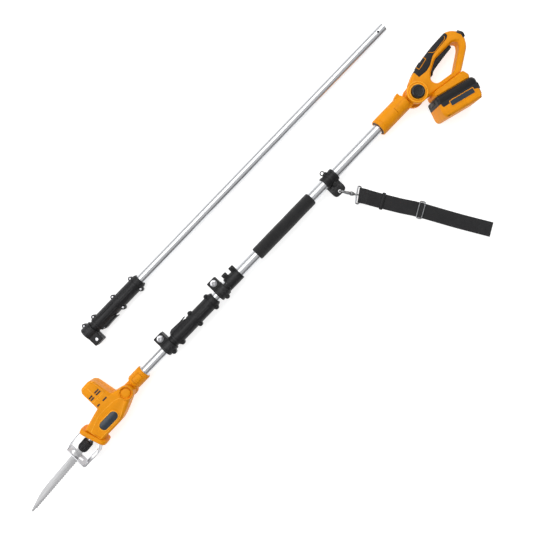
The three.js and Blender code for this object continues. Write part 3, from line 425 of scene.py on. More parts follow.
def drawn_lines():
    """Fine lines along the pole, left by drawing and brushing, as roughness and a normal."""
    group, given, end, place = new_group("drawn_lines", {"Roughness": 0.3, "Depth": 0.15},
                                         ("Normal", "Roughness", "Streaks"))
    streak = noise(group, stretched(group, place, (9, 2600, 2600)), 1.0, 3.0)
    broad = noise(group, stretched(group, place, (3, 260, 260)), 1.0, 2.0)
    height = maths(group, "ADD", streak, times(group, broad, 0.6))
    spread = times(group, maths(group, "SUBTRACT", streak, 0.5), 0.35)
    feed(group, end, {"Normal": bump(group, given["Depth"], 0.00008, height),
                      "Roughness": maths(group, "ADD", given["Roughness"], spread, clamp=True),
                      "Streaks": ranged(group, broad, 0.3, 0.7)})
    return group


EFFECTS = {}


def effect(tree, name, **values):
    """Places a shared effect in a material, with its own values."""
    made = tree.nodes.new("ShaderNodeGroup")
    made.node_tree = EFFECTS[name]
    feed(tree, made, values)
    return made.outputs


def new_material(name):
    material = bpy.data.materials.new(name)
    material.use_nodes = True
    tree = material.node_tree
    return material, tree, tree.nodes["Principled BSDF"]


def lighter(colour, share):
    return tuple(min(1.0, channel * share) for channel in colour)


def moulded_plastic(name, colour, roughness, grain=0.25, size=900.0, wear=0.25, coat=0.0, worn_and_lit_colour=None, gloss=0.3,
                    metallic=0.0):
    """Moulded plastic: fine grain, slow patches, rubbed edges that on the black and the ridges are also painted
    highlight, and a few hairline scratches.
    """
    material, tree, shader = new_material(name)
    skin = effect(tree, "moulded_grain", Size=size, Depth=grain, Roughness=roughness)
    lit_and_rubbed_edges = effect(tree, "edge_wear_and_highlight", Start=0.53, Amount=wear)
    hairs = times(tree, effect(tree, "fine_scratches", Density=0.47)["Mask"], 0.12)
    body = mixed(tree, skin["Patches"], lighter(colour, 0.93), lighter(colour, 1.06))
    edged = mixed(tree, lit_and_rubbed_edges["Mask"], body, worn_and_lit_colour or lighter(colour, 1.9))
    feed(tree, shader, {"Base Color": mixed(tree, hairs, edged, lighter(colour, 2.4)), "Normal": skin["Normal"],
                        "Roughness": maths(tree, "ADD", skin["Roughness"], hairs, True), "Coat Weight": coat,
                        "Coat Roughness": 0.25, "Specular IOR Level": gloss, "Metallic": metallic})
    return material


def drawn_metal(name, colour, roughness, depth=0.15):
    """Drawn or ground metal with lines along the pole."""
    material, tree, shader = new_material(name)
    lines = effect(tree, "drawn_lines", Roughness=roughness, Depth=depth)
    hairs = times(tree, effect(tree, "fine_scratches", Density=0.5)["Mask"], 0.25)
    body = mixed(tree, lines["Streaks"], lighter(colour, 0.92), lighter(colour, 1.04))
    feed(tree, shader, {"Base Color": mixed(tree, hairs, body, lighter(colour, 0.7)), "Metallic": 1.0,
                        "Roughness": lines["Roughness"], "Normal": lines["Normal"]})
    return material


def plated_metal(name, colour, roughness):
    """Bright plating with faint waviness and handling marks."""
    material, tree, shader = new_material(name)
    skin = effect(tree, "moulded_grain", Size=500.0, Depth=0.04, Roughness=roughness)
    hairs = effect(tree, "fine_scratches", Density=0.5)["Mask"]
    rough = maths(tree, "ADD", skin["Roughness"], times(tree, hairs, 0.15), True)
    feed(tree, shader, {"Base Color": mixed(tree, times(tree, hairs, 0.2), colour, lighter(colour, 0.75)),
                        "Roughness": rough, "Normal": skin["Normal"], "Metallic": 1.0})
    return material


def foam_rubber(name, colour):
    """Closed-cell foam: pores of two sizes over a soft, matt body."""
    material, tree, shader = new_material(name)
    place = here_in(tree)
    pores = cells(tree, place, 1500.0)
    height = maths(tree, "ADD", pores, times(tree, cells(tree, place, 420.0, "SMOOTH_F1"), 0.8))
    slow = noise(tree, place, 70.0, 4.0)
    body = mixed(tree, ranged(tree, pores, 0.0, 0.6), lighter(colour, 0.55), lighter(colour, 1.35))
    feed(tree, shader, {"Base Color": mixed(tree, times(tree, slow, 0.5), body, lighter(colour, 1.5)),
                        "Roughness": ranged(tree, slow, 0.3, 0.7, 0.82, 0.95),
                        "Normal": bump(tree, 0.6, 0.0003, height), "Sheen Weight": 0.25, "Sheen Roughness": 0.5})
    return material


def woven_webbing(name, colour):
    """Webbing: chevron ribs along the band on its own map, with fuzz and slow fading."""
    half_chevron, thread_pitch, rib_pitch = 0.0047, 0.0011, 0.00118
    material, tree, shader = new_material(name)
    place = node(tree, "UVMap", uv_map="band").outputs["UV"]
    parts = node(tree, "SeparateXYZ", {"Vector": place}).outputs
    across = maths(tree, "PINGPONG", parts["X"], half_chevron)
    slanted = maths(tree, "ADD", parts["Y"], times(tree, across, 0.8))
    threads = maths(tree, "SINE", times(tree, slanted, 2 * math.pi / thread_pitch))
    ribs = maths(tree, "SINE", times(tree, parts["X"], 2 * math.pi / rib_pitch))
    height = maths(tree, "ADD", times(tree, threads, 0.5), times(tree, ribs, 0.35))
    fuzzy = maths(tree, "ADD", height, times(tree, noise(tree, place, 2600.0, 2.0), 0.35))
    slow = noise(tree, place, 26.0, 4.0)
    body = mixed(tree, ranged(tree, height, -0.8, 0.8), lighter(colour, 0.5), lighter(colour, 2.0))
    feed(tree, shader, {"Base Color": mixed(tree, times(tree, slow, 0.45), body, lighter(colour, 2.6)),
                        "Roughness": ranged(tree, slow, 0.3, 0.7, 0.72, 0.9),
                        "Normal": bump(tree, 0.7, 0.00025, fuzzy), "Sheen Weight": 0.2})
    return material


PAINTS = {}
# The ridges' edge colour, the second here, is wear and painted highlight.
WORN_ORANGE, RIDGE_WEAR_AND_HIGHLIGHT = (0.90, 0.40, 0.01), (0.95, 0.45, 0.02)
# The black's edge colour is lighter for wear and for a painted highlight along ribs and bands.
BLACK_WEAR_AND_HIGHLIGHT, WORN_GLOSS = (0.12, 0.12, 0.125), (0.05, 0.05, 0.055)


def make_materials():
    """Builds the shared effects and every material of the saw."""
    for build in (moulded_grain, edge_wear_and_highlight, fine_scratches, drawn_lines):
        EFFECTS[build.__name__] = build()
    colours = bpy.context.scene.saw_colours
    PAINTS.update(
        matte_orange=moulded_plastic("orange_shell", colours.shell, 0.48, 0.16, 1000, 0.15, 0.0, WORN_ORANGE, 0.18),
        # Lighter orange for the raised rims and rings: a painted highlight, their catch-light.
        orange_ridge=moulded_plastic("orange_ridge", (0.93, 0.40, 0.01), 0.36, 0.1, 1000, 0.1, 0.0, RIDGE_WEAR_AND_HIGHLIGHT),
        # Strong lighter edges on the black: wear, and a painted highlight along its ribs and bands.
        matte_black=moulded_plastic("black_plastic", colours.black, 0.46, 0.28, 850, 0.5, 0.0, BLACK_WEAR_AND_HIGHLIGHT),
        gloss_black=moulded_plastic("gloss_black", colours.black, 0.25, 0.06, 850, 0.4, 0.3, WORN_GLOSS),
        rubber_grey=moulded_plastic("grip_rubber", colours.rubber, 0.72, 0.5, 520, 0.3),
        plate_navy=moulded_plastic("name_plate", colours.plate, 0.3, 0.1, 900, 0.2, 0.3),
        cell_wrap=moulded_plastic("cell_wrap", (0.03, 0.09, 0.2), 0.35, 0.05, 600, 0.2),
        foam_black=foam_rubber("foam", colours.foam),
        webbing_black=woven_webbing("webbing", colours.webbing),
        aluminium_tube=drawn_metal("drawn_aluminium", colours.aluminium, 0.3, 0.14),
        steel=drawn_metal("ground_steel", (0.70, 0.70, 0.71), 0.42, 0.3),
        zinc=plated_metal("zinc_plating", (0.33, 0.335, 0.345), 0.3),
        chrome=plated_metal("bright_plating", (0.55, 0.55, 0.57), 0.26),
        cast_alloy=moulded_plastic("cast_alloy", (0.36, 0.37, 0.38), 0.5, 0.6, 420, 0.6, metallic=1.0),
        bronze=drawn_metal("sintered_bronze", (0.45, 0.29, 0.12), 0.42, 0.2),
    )


class SAW_OT_materials(bpy.types.Operator):
    """Builds the finishes and paints every node of the frame with its own"""
    bl_idname = "saw.materials"
    bl_label = "Finishes"

    def execute(self, context):
        make_materials()
        for row in frame["record"]["subparts"]:
            materials = frame["nodes"][row["node"]].data.materials
            materials.clear()
            materials.append(PAINTS[row["material_slot"]])
        return {"FINISHED"}


# ---------------------------------------------------------------- the stage
FLOOR_SIZE, FLOOR_DROP, FLOOR_GLOW = 14, 0.0005, 0.72
# Name, place, length, width and watts of each light.
LIGHTS = (("key", (0, 1.15, 2.1), 5.5, 1.7, 62), ("fill", (0, -1.3, 2.2), 5.5, 1.6, 9))
SKY_SIDE, SKY_STRENGTH = (0.0, 0.8, 0.6), 0.5
CAMERA_X, CAMERA_Y, CAMERA_TURN = 848.8, -38.1, -46.07
LENS, SENSOR = 35.12, 36


class SAW_OT_stage(bpy.types.Operator):
    """Adds the floor, the soft lights and the camera that looks straight down"""
    bl_idname = "saw.stage"
    bl_label = "Stage"

    def execute(self, context):
        clear()
        bpy.ops.mesh.primitive_plane_add(size=FLOOR_SIZE, location=(0, 0, -FLOOR_DROP))
        floor = bpy.context.object
        floor.name = "floor"
        material, tree, shader = new_material("pale_floor")
        mottle = noise(tree, here_in(tree), 3.0, 3.0)
        feed(tree, shader, {"Base Color": mixed(tree, mottle, (0.55, 0.55, 0.55), (0.58, 0.58, 0.58)),
                            "Roughness": 0.9, "Specular IOR Level": 0.1, "Emission Color": (1, 1, 1, 1),
                            "Emission Strength": FLOOR_GLOW})
        floor.data.materials.append(material)
        self.add_lights()
        self.add_camera(context)
        return {"FINISHED"}

    def add_lights(self):
        for name, place, length, width, power in LIGHTS:
            bpy.ops.object.light_add(type="AREA", location=place)
            light = bpy.context.object
            light.name = name
            light.data.shape = "RECTANGLE"
            light.data.size = length
            light.data.size_y = width
            light.data.energy = power
            light.rotation_euler = (-math.atan2(place[1], place[2]), 0, 0)
        world = bpy.data.worlds.new("studio")
        world.use_nodes = True
        tree = world.node_tree
        direction = node(tree, "TexCoord").outputs["Generated"]
        side = node(tree, "VectorMath", {0: direction, 1: SKY_SIDE}, operation="DOT_PRODUCT")
        sky = node(tree, "ValToRGB", {"Fac": ranged(tree, side.outputs["Value"], -0.9, 0.9)})
        dark, bright = sky.color_ramp.elements
        dark.color = (0.03, 0.03, 0.032, 1)
        bright.color = (1, 1, 1, 1)
        bright.position = 0.8
        feed(tree, tree.nodes["Background"], {"Color": sky.outputs["Color"], "Strength": SKY_STRENGTH})
        bpy.context.scene.world = world

    def add_camera(self, context):
        height = context.scene.saw_sizes.camera_height
        bpy.ops.object.camera_add(location=at(CAMERA_X, CAMERA_Y, height / MM),
                                  rotation=(0, 0, math.radians(CAMERA_TURN)))
        camera = bpy.context.object
        camera.data.lens = LENS
        camera.data.sensor_width = SENSOR
        context.scene.camera = camera
        context.scene.view_settings.view_transform = "Standard"


# ---------------------------------------------------------------- outlines and small fittings
def rounded(outline, steps=5):
    """A closed outline of (x, y, corner radius) with its corners drawn as smooth curves."""
    points = []
    for i, (x, y, *rest) in enumerate(outline):
        corner = Vector((x, y))
        radius = rest[0] if rest else 0
        if not radius:
            points.append(tuple(corner))
            continue
        ends = []
        for neighbour in (outline[i - 1], outline[(i + 1) % len(outline)]):
            step = Vector(neighbour[:2]) - corner
            ends.append(corner + step * min(radius / step.length, 0.48))
        for k in range(steps + 1):
            share = k / steps
            spot = ends[0].lerp(corner, share).lerp(corner.lerp(ends[1], share), share)
            points.append(tuple(spot))
    return points


def stadium(x0, x1, y0, y1, steps=10):
    """A long outline with a half circle at each end."""
    radius = (y1 - y0) / 2
    ends = ((x1 - radius, -90), (x0 + radius, 90))
    return [(x + radius * math.cos(math.radians(start + 180 * k / steps)),
             (y0 + y1) / 2 + radius * math.sin(math.radians(start + 180 * k / steps)))
            for x, start in ends for k in range(steps + 1)]


def rod(low, high, radius, centre, axis="Z", sides=48, edge=0.0):
    """A round bar between two places along an axis, with its end edges turned off."""
    stations = [(low, radius - edge), (low + edge, radius), (high - edge, radius), (high, radius - edge)]
    return turned(stations if edge else [(low, radius), (high, radius)], centre, axis, sides)


def groove(start, radius, width=1.8, depth=0.6, slope=0.4):
    """The stations of a groove with sloping sides."""
    end = start + width
    return [(start, radius), (start + slope, radius - depth), (end - slope, radius - depth), (end, radius)]


def ring_points(radius, count=12):
    """The (cosine, sine) places round a circle."""
    return [(radius * math.cos(a), radius * math.sin(a)) for a in (2 * math.pi * k / count for k in range(count))]


def pan_screw(radius):
    """A pan-head screw with a cross recess, its head up."""
    arm, slot, floor = 0.55 * radius, 0.16 * radius, 0.25 * radius
    head = turned([(0, radius), (0.35 * radius, radius), (0.62 * radius, 0.8 * radius),
                   (0.75 * radius, 0.45 * radius)], axis="Z", sides=24)
    return cut(head, *[block((-x, -y, floor), (x, y, radius)) for x, y in ((arm, slot), (slot, arm))])


def row_of_screws(name, body, spots, radius, slot, flip=1):
    """Screws at (x, y, z) spots in one piece, each turned a little differently."""
    first = pan_screw(radius)
    copies = []
    for i, spot in enumerate(spots):
        spin = Matrix.Rotation(math.radians(37 * i + 11), 4, "Z")
        face = Matrix.Diagonal((1, flip, flip, 1))
        copies.append(copied(first, Matrix.Translation(Vector(spot) * MM) @ face @ spin))
    bpy.data.objects.remove(first)
    return finished(joined(*copies), name, body, slot)


# ---------------------------------------------------------------- tubes and the foam grip
class SAW_OT_tubes(bpy.types.Operator):
    """Draws the four aluminium tubes with their real walls and turned ends"""
    bl_idname = "saw.tubes"
    bl_label = "Aluminium tubes"

    def execute(self, context):
        wall = context.scene.saw_sizes.tube_wall / MM
        for shape, body in (("outer_tube", "pole"), ("inner_tube", "telescope"), ("head_tube", "head_mount"),
                            ("extension_tube", "extension")):
            low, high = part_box(shape)
            radius = (high.z - low.z) / 2 / MM
            start, end = ((corner.x - DATUM.x) / MM for corner in (low, high))
            middle = ((low + high) / 2 - DATUM) / MM
            stations = [(start, radius - 0.3), (start + 0.3, radius), (end - 0.3, radius), (end, radius - 0.3),
                        (end, radius - wall), (start, radius - wall)]
            tube = turned(stations, (0, middle.y, middle.z), sides=72, hollow=True)
            if shape == "extension_tube":
                # A black snap button on a spring strip, sunk just under the surface in the hole: partly a button,
                # partly painted shade for the dark inside the hole.
                button_at = (end - 22, middle.y, 0)
                cut(tube, rod(middle.z, middle.z + 30, 3, button_at, sides=32))
                top = middle.z + radius - wall
                spring = block((end - 44, middle.y - 3, top - 1.4), (end - 17, middle.y + 3, top - 0.3), 0.3)
                button = rod(top - 1.2, top + 0.8, 2.8, button_at, "Z", 32, 0.5)
                finished(welded(button, spring), "extension_button_and_hole_shade", body, "matte_black")
            finished(tube, shape.replace("_tube", "") + "_pipe", body, "aluminium_tube", [shape])
        return {"FINISHED"}


class SAW_OT_foam(bpy.types.Operator):
    """Models the foam grip, a little uneven where hands have pressed it"""
    bl_idname = "saw.foam"
    bl_label = "Foam grip"

    def execute(self, context):
        low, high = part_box("foam_grip")
        radius = (high.z - low.z) / 2 / MM
        start, end = ((corner.x - DATUM.x) / MM for corner in (low, high))
        rounding = [(0, 2.6), (0.5, 1.3), (1.4, 0.5), (3, 0)]
        outside = [(start + along, radius - depth) for along, depth in rounding]
        steps = 26
        span = end - start - 6
        outside += [(start + 3 + span * k / steps, radius) for k in range(1, steps)]
        outside += [(end - along, radius - depth) for along, depth in reversed(rounding)]
        inner = (TUBE_HIGH.z - TUBE_LOW.z) / 2 / MM + 0.15
        grip = turned([*outside, (end, inner), (start, inner)], sides=64, hollow=True)
        dents = bpy.data.textures.new("pressed_foam", "CLOUDS")
        dents.noise_scale = 0.03
        modified(grip, "DISPLACE", texture=dents, strength=0.7 * MM, mid_level=0.75, texture_coords="LOCAL")
        finished(grip, "foam_sleeve", "pole", "foam_black", ["foam_grip"], smooth=60)
        return {"FINISHED"}


# ---------------------------------------------------------------- hook, ring, webbing and slider
RING_NEAR, RING_FAR, RING_WIRE = 47, 56, 2
SLIDER_AT = (1226.7, -222)
STRAP_HEADING = -61.3
STRAP_END = (1316.6, -386.9)
KEEPER_AT, KEEPER_HEADING = (1175.5, -136), -60.3
WEBBING_COLUMNS = 10
FLARE_RUN, LAP_RUN = 24, 60
HUMP, HUMP_RUN = 5.4, 4.2


def along_hook(distance, up=0.0):
    """A place along the hook's own axis, and above it."""
    heading, pitch = math.radians(HOOK_HEADING), math.radians(HOOK_PITCH)
    ahead = Vector((math.cos(pitch) * math.cos(heading), math.cos(pitch) * math.sin(heading), -math.sin(pitch)))
    above = Vector((math.sin(pitch) * math.cos(heading), math.sin(pitch) * math.sin(heading), math.cos(pitch)))
    return Vector(HOOK_AT) + ahead * distance + above * up


def smooth_line(knots, step=4.0):
    """Evenly stepped places on a smooth curve through the knots."""
    ends = [knots[0] * 2 - knots[1], *knots, knots[-1] * 2 - knots[-2]]
    line = [knots[0]]
    for before, start, end, after in zip(ends, ends[1:], ends[2:], ends[3:]):
        count = max(1, round((end - start).length / step))
        for k in range(1, count + 1):
            t = k / count
            line.append(0.5 * (2 * start + (end - before) * t + (2 * before - 5 * start + 4 * end - after) * t * t
                               + (3 * start - before - 3 * end + after) * t ** 3))
    return line


def strap_path(layer):
    """The webbing's centre line: out along the floor, folded back at the far end, and round the ring's bar."""
    half = FLOOR + 2.2
    knots = [along_hook(RING_FAR), along_hook(RING_FAR + 13), Vector((1155.5, -102.3, FLOOR + 10)),
             Vector((1162, -113, FLOOR + 6)), Vector((1170, -126.5, FLOOR + 3.4)), Vector((1179, -142, half)),
             Vector((1200, -178.5, half)), Vector((*SLIDER_AT, half)), Vector((1271.5, -306.5, half)),
             Vector((*STRAP_END, half))]
    line = smooth_line(knots)
    reach = [0.0]
    for first, second in zip(line, line[1:]):
        reach.append(reach[-1] + (second - first).length)
    wrap = RING_WIRE + GAP + layer / 2
    apart = layer / 2 + 0.2
    slider_reach = min(zip(reach, line), key=lambda pair: (pair[1].xy - Vector(SLIDER_AT)).length)[0]
    top, bottom = [], []
    for i, (spot, run) in enumerate(zip(line, reach)):
        ahead = (line[min(i + 1, len(line) - 1)] - line[max(i - 1, 0)]).normalized()
        across = Vector((-ahead.y, ahead.x, 0)).normalized()
        above = ahead.cross(across)
        if above.z < 0:
            above = -above
        near = max(0.0, 1 - run / FLARE_RUN)
        rise = apart + (wrap - apart) * near * near * (3 - 2 * near)
        hump = HUMP * math.exp(-(((run - slider_reach) / HUMP_RUN) ** 2))
        ripple = 0.25 * math.sin(run / 17) * min(1, run / LAP_RUN)
        top.append((spot + above * (rise + hump + 0.25 + ripple), across))
        bottom.append((spot - above * rise, across))
    ahead = (line[-1] - line[-2]).normalized()
    fold = [(line[-1] + (ahead * math.cos(a) + Vector((0, 0, 1)) * math.sin(a)) * apart, top[-1][1])
            for a in (math.radians(45 * k) for k in (1, 0, -1))]
    heading = [along_hook(RING_FAR + wrap * -math.cos(a), wrap * math.sin(a)) for a in
               (math.radians(22.5 * k) for k in range(-3, 4))]
    wrap_round = [(spot, top[0][1]) for spot in heading]
    lap = max(i for i, run in enumerate(reach) if run < LAP_RUN)
    return bottom[lap + 1:0:-1] + [bottom[0]] + wrap_round + top + fold + bottom[:lap + 2:-1]


def wire_frame(half, reach, radius, bar):
    """A rectangle bent from wire, with a bar across its middle if asked."""
    corner = 2.5
    points = []
    for x, y in ((-reach, -half), (reach, -half), (reach, half), (-reach, half)):
        side_x, side_y = math.copysign(1, x), math.copysign(1, y)
        turn = [(x, y - side_y * corner, 0), (x - side_x * corner * 0.3, y - side_y * corner * 0.3, 0),
                (x - side_x * corner, y, 0)]
        points += turn if side_x * side_y > 0 else turn[::-1]
    outside = wire(points, radius, closed=True)
    return welded(outside, rod(-half, half, radius, (0, 0, 0), "Y", 16)) if bar else outside


class SAW_OT_strap(bpy.types.Operator):
    """Lays the webbing from the ring along the floor, with its slider and keeper"""
    bl_idname = "saw.strap"
    bl_label = "Shoulder strap"

    def execute(self, context):
        sizes = context.scene.saw_sizes
        width, layer = sizes.strap_width / MM, sizes.strap_thickness / MM
        path = strap_path(layer)
        band, length = self.webbing(path, width, layer)
        slider = wire_frame(width / 2 + 2.8, 6.5, 1.6, True)
        height = FLOOR + 4.4 + RING_WIRE + GAP
        moved(slider, *SLIDER_AT, height, heading=STRAP_HEADING)
        finished(slider, "slider_buckle", "strap", "chrome", ["strap_slider"], "zinc")
        keeper = self.keeper(width)
        return {"FINISHED"}

    def webbing(self, path, width, layer):
        """The band itself: a strip with a map along it, thickened and with its edges turned in."""
        mesh = bpy.data.meshes.new("webbing")
        shape = bmesh.new()
        band_map = shape.loops.layers.uv.new("band")
        columns = WEBBING_COLUMNS
        rows, runs = [], [0.0]
        for i, (spot, across) in enumerate(path):
            if i:
                runs.append(runs[-1] + (spot - path[i - 1][0]).length)
            row = []
            for k in range(columns + 1):
                share = k / columns - 0.5
                selvedge = 0.12 * max(0.0, abs(share) * 2 - 0.8) * 5
                curl = 0.35 * math.sin(runs[-1] / 31) * (2 * share) ** 3
                lift = Vector((0, 0, max(0, curl) - selvedge))
                row.append(shape.verts.new((spot + across * share * width + lift) * MM))
            rows.append(row)
        for i, (first, second) in enumerate(zip(rows, rows[1:])):
            for k in range(columns):
                face = shape.faces.new((first[k], first[k + 1], second[k + 1], second[k]))
                corners = ((k, i), (k + 1, i), (k + 1, i + 1), (k, i + 1))
                for loop, (column, row) in zip(face.loops, corners):
                    loop[band_map].uv = (column / columns * width * MM, runs[row] * MM)
        shape.to_mesh(mesh)
        shape.free()
        band = bpy.data.objects.new("webbing", mesh)
        bpy.context.scene.collection.objects.link(band)
        modified(band, "SOLIDIFY", thickness=layer * MM, offset=0, use_even_offset=True)
        bevelled(band, 0.35, 2, 50)
        finished(band, "webbing_band", "strap", "webbing_black", ["shoulder_strap"], smooth=50)
        return band, runs[-1]

    def keeper(self, width):
        """A black loop that holds the two layers together near the ring."""
        outside = block((-4, -width / 2 - 3.2, -3.6), (4, width / 2 + 3.2, 3.6), 1.4, 3)
        loop = cut(outside, block((-6, -width / 2 - 0.8, -2.3), (6, width / 2 + 0.8, 2.3)))
        bevelled(loop, 0.5, 2)
        moved(loop, *KEEPER_AT, FLOOR + 3.7, heading=KEEPER_HEADING)
        return finished(loop, "strap_keeper", "strap", "matte_black")


class SAW_OT_hook(bpy.types.Operator):
    """Bends the snap hook, turns its swivel and bends the ring that carries the webbing"""
    bl_idname = "saw.hook"
    bl_label = "Snap hook and ring"

    def execute(self, context):
        loop_radius, wire_radius = 7.8, 2.2
        arc = [(loop_radius - loop_radius * math.cos(a), 0, loop_radius * math.sin(a))
               for a in (math.radians(25 * k - 155) for k in range(12))]
        across = 2 * loop_radius
        hook = wire([(across + 3, 0, -1.0), (across - 1.2, 0, -4.0), *arc[1:]], wire_radius, sides=16)
        gate = rod(2.5, across + 1.5, 1.35, (0, 0, 0), "X", 20, 0.5)
        gate.data.transform(Matrix.Rotation(math.radians(-16), 4, "Y"))
        gate.data.transform(Matrix.Translation(Vector((2.2, 0, 3.6)) * MM))
        barrel = turned([(12.6, 2.6), (13.6, 3.8), (20, 4.4), (27.6, 4.4), (28.2, 3.2)], sides=32)
        thumb = rod(4, 6.8, 1.5, (19.5, 0, 0), "Z", 20, 0.4)
        swivel = turned([(28.2, 2.4), (28.6, 5.0), (30, 5.8), (35, 5.8), (37.2, 5.0), (38.6, 3.8), (42, 3.0)],
                        sides=32)
        eye = wire([(46 + along, 0, up) for along, up in ring_points(5.2)], 1.7, closed=True)
        whole = joined(hook, gate, barrel, thumb, swivel, eye)
        moved(whole, *HOOK_AT, heading=HOOK_HEADING, pitch=HOOK_PITCH)
        finished(whole, "swivel_hook", "strap", "chrome", ["snap_hook"], "zinc")
        half = context.scene.saw_sizes.strap_width / MM / 2 + 3
        middle = (RING_NEAR + RING_FAR) / 2
        ring = wire_frame(half, (RING_FAR - RING_NEAR) / 2, RING_WIRE, False)
        ring.data.transform(Matrix.Translation((middle * MM, 0, 0)))
        moved(ring, *HOOK_AT, heading=HOOK_HEADING, pitch=HOOK_PITCH)
        finished(ring, "strap_ring_wire", "strap", "chrome", ["strap_ring"], "zinc")
        return {"FINISHED"}


# ---------------------------------------------------------------- clamps, couplers and sleeves
# Radii, lengths and places that agree with the frame's own clamps and shells.
TUBE_R, OUTER_R = 12.5, 14
CLAMP_R, CLAMP_WIDTH, EAR_TOP, EAR_HALF, EAR_SLIT = 19.5, 28, 38, 14, 1.5
BOLT_Y, BOLT_R, BOLT_HEAD_R, BOLT_HEAD_THICK = 27, 4, 8.5, 5
COUPLER_R, LUG_R, LUG_HALF, LUG_Y = 18.7, 6, 8, 18.5
COUPLER_START, COUPLER_LENGTH, EXTENSION_COUPLER_LENGTH = CLAMP_WIDTH + 9, 181, 196
LUG_SHARES = (0.06, 0.5, 0.9)
LEVER_LENGTH, LEVER_HALF = 54, 9
UPPER_CLAMP_X = 713.5
SLEEVE_X, SLEEVE_R, SLEEVE_BOSS = (749, 792), 16.8, 14
FAR = 2000
TURNED_OVER = Matrix.Rotation(math.pi, 4, "X")
MAIN_PLACE = Matrix.Translation(Vector(COUPLER_AT) * MM)
SPARE_PLACE = Matrix.Translation(Vector(EXTENSION_AT) * MM) @ TURNED_OVER


def halves(body):
    """Splits a body at the parting line into an upper and a lower piece."""
    lower = copied(body, Matrix())
    cut(body, block((-FAR, -200, -90), (FAR, 200, GAP / 2)))
    cut(lower, block((-FAR, -200, -GAP / 2), (FAR, 200, 90)))
    return body, lower


def bore(low, high, radius):
    return rod(low, high, radius, (0, 0, 0), "X", 64)


def clamp(x, width, neck):
    """A ring with two ears that a bolt pulls together, and a screw lug on its other side."""
    body = rod(x, x + width, CLAMP_R, (0, 0, 0), "X", 72, 1)
    ears = block((x, 8, -EAR_HALF), (x + width - 1, EAR_TOP, EAR_HALF), 2.2, 3)
    lug = rod(-LUG_HALF, LUG_HALF, LUG_R, (x + width / 2, -LUG_Y - 1, 0), "Z", 32, 0.8)
    welded(body, ears, lug, neck)
    bolt_at = (x + width / 2, BOLT_Y, 0)
    pocket = rod(EAR_HALF - 1.2, EAR_HALF + 2, BOLT_HEAD_R + 1, bolt_at, "Z", 48)
    hole = rod(-EAR_HALF - 2, EAR_HALF + 2, BOLT_R + GAP, bolt_at, "Z", 24)
    line = cut(bore(x + 6, x + 7.4, CLAMP_R + 2), bore(x + 5, x + 8, CLAMP_R - 0.5))
    cut(line, block((x, 8, -EAR_HALF - 9), (x + width, 60, EAR_HALF + 9)))
    return cut(body, bore(x - 1, x + 60, TUBE_R + GAP), pocket, hole, line)


def clamp_slit(x, end):
    """The gap between the clamp's ears."""
    return block((x - 1, 0, -EAR_SLIT), (end, EAR_TOP + 5, EAR_SLIT))


def clamp_bolt(x, width):
    """The clamp's bolt with a hexagon socket, and the washer under its head."""
    place = (x + width / 2, BOLT_Y, 0)
    seat = EAR_HALF + GAP - 1.2
    head_top = EAR_HALF + GAP + BOLT_HEAD_THICK
    bolt = turned([(-EAR_HALF + 2, BOLT_R), (seat, BOLT_R), (seat, BOLT_HEAD_R), (seat + 0.9, BOLT_HEAD_R),
                   (seat + 1, BOLT_HEAD_R - 1.1), (head_top - 1.2, BOLT_HEAD_R - 1.1),
                   (head_top - 0.3, BOLT_HEAD_R - 1.7), (head_top, BOLT_HEAD_R - 2.6)], place, "Z", 48)
    return cut(bolt, turned([(head_top - 4.4, 4.3), (head_top + 1, 4.3)], place, "Z", 6))


def coupler(length):
    """A coupler's shell with its mouth at x = 0: screw lugs, ribs, the lever's saddle and its slot."""
    start = COUPLER_START
    lugs = [start + share * (length - start) for share in LUG_SHARES]
    body = turned([(start, COUPLER_R - 0.7), (start + 0.7, COUPLER_R), *groove(start + 5, COUPLER_R, 2),
                   *groove(length - 16, COUPLER_R, 2, 0.7), (length - 6, COUPLER_R), (length - 2, COUPLER_R - 1.6),
                   (length, COUPLER_R - 3)], sides=72)
    bosses = [rod(-LUG_HALF, LUG_HALF, LUG_R, (x, side, 0), "Z", 32, 0.8) for x in lugs for side in (-LUG_Y, LUG_Y)]
    ribs = [block((lugs[1] + 6, y - 0.9, -COUPLER_R - 0.4), (lugs[2] - 12, y + 0.9, COUPLER_R + 0.4), 0.3)
            for y in (-5, 0, 5)]
    panel = [block((lugs[0] + 9, y - 0.6, -COUPLER_R - 0.1), (lugs[1] - 8, y + 0.6, COUPLER_R + 0.1), 0.2)
             for y in (-7.5, 7.5)]
    lever_start = start + 2
    lever_end = lever_start + LEVER_LENGTH
    saddle = block((lever_start + 2, 10, -LEVER_HALF - 2), (lever_end - 6, COUPLER_R + 1, LEVER_HALF + 2), 1.2)
    welded(body, joined(*bosses), joined(*ribs), joined(*panel), saddle)
    room = block((lever_start - 6, COUPLER_R - 1.5, -LEVER_HALF - 0.5), (lever_end + 2, 40, LEVER_HALF + 0.5))
    cut(body, room, bore(0, length + 1, TUBE_R + GAP))
    return body, lugs


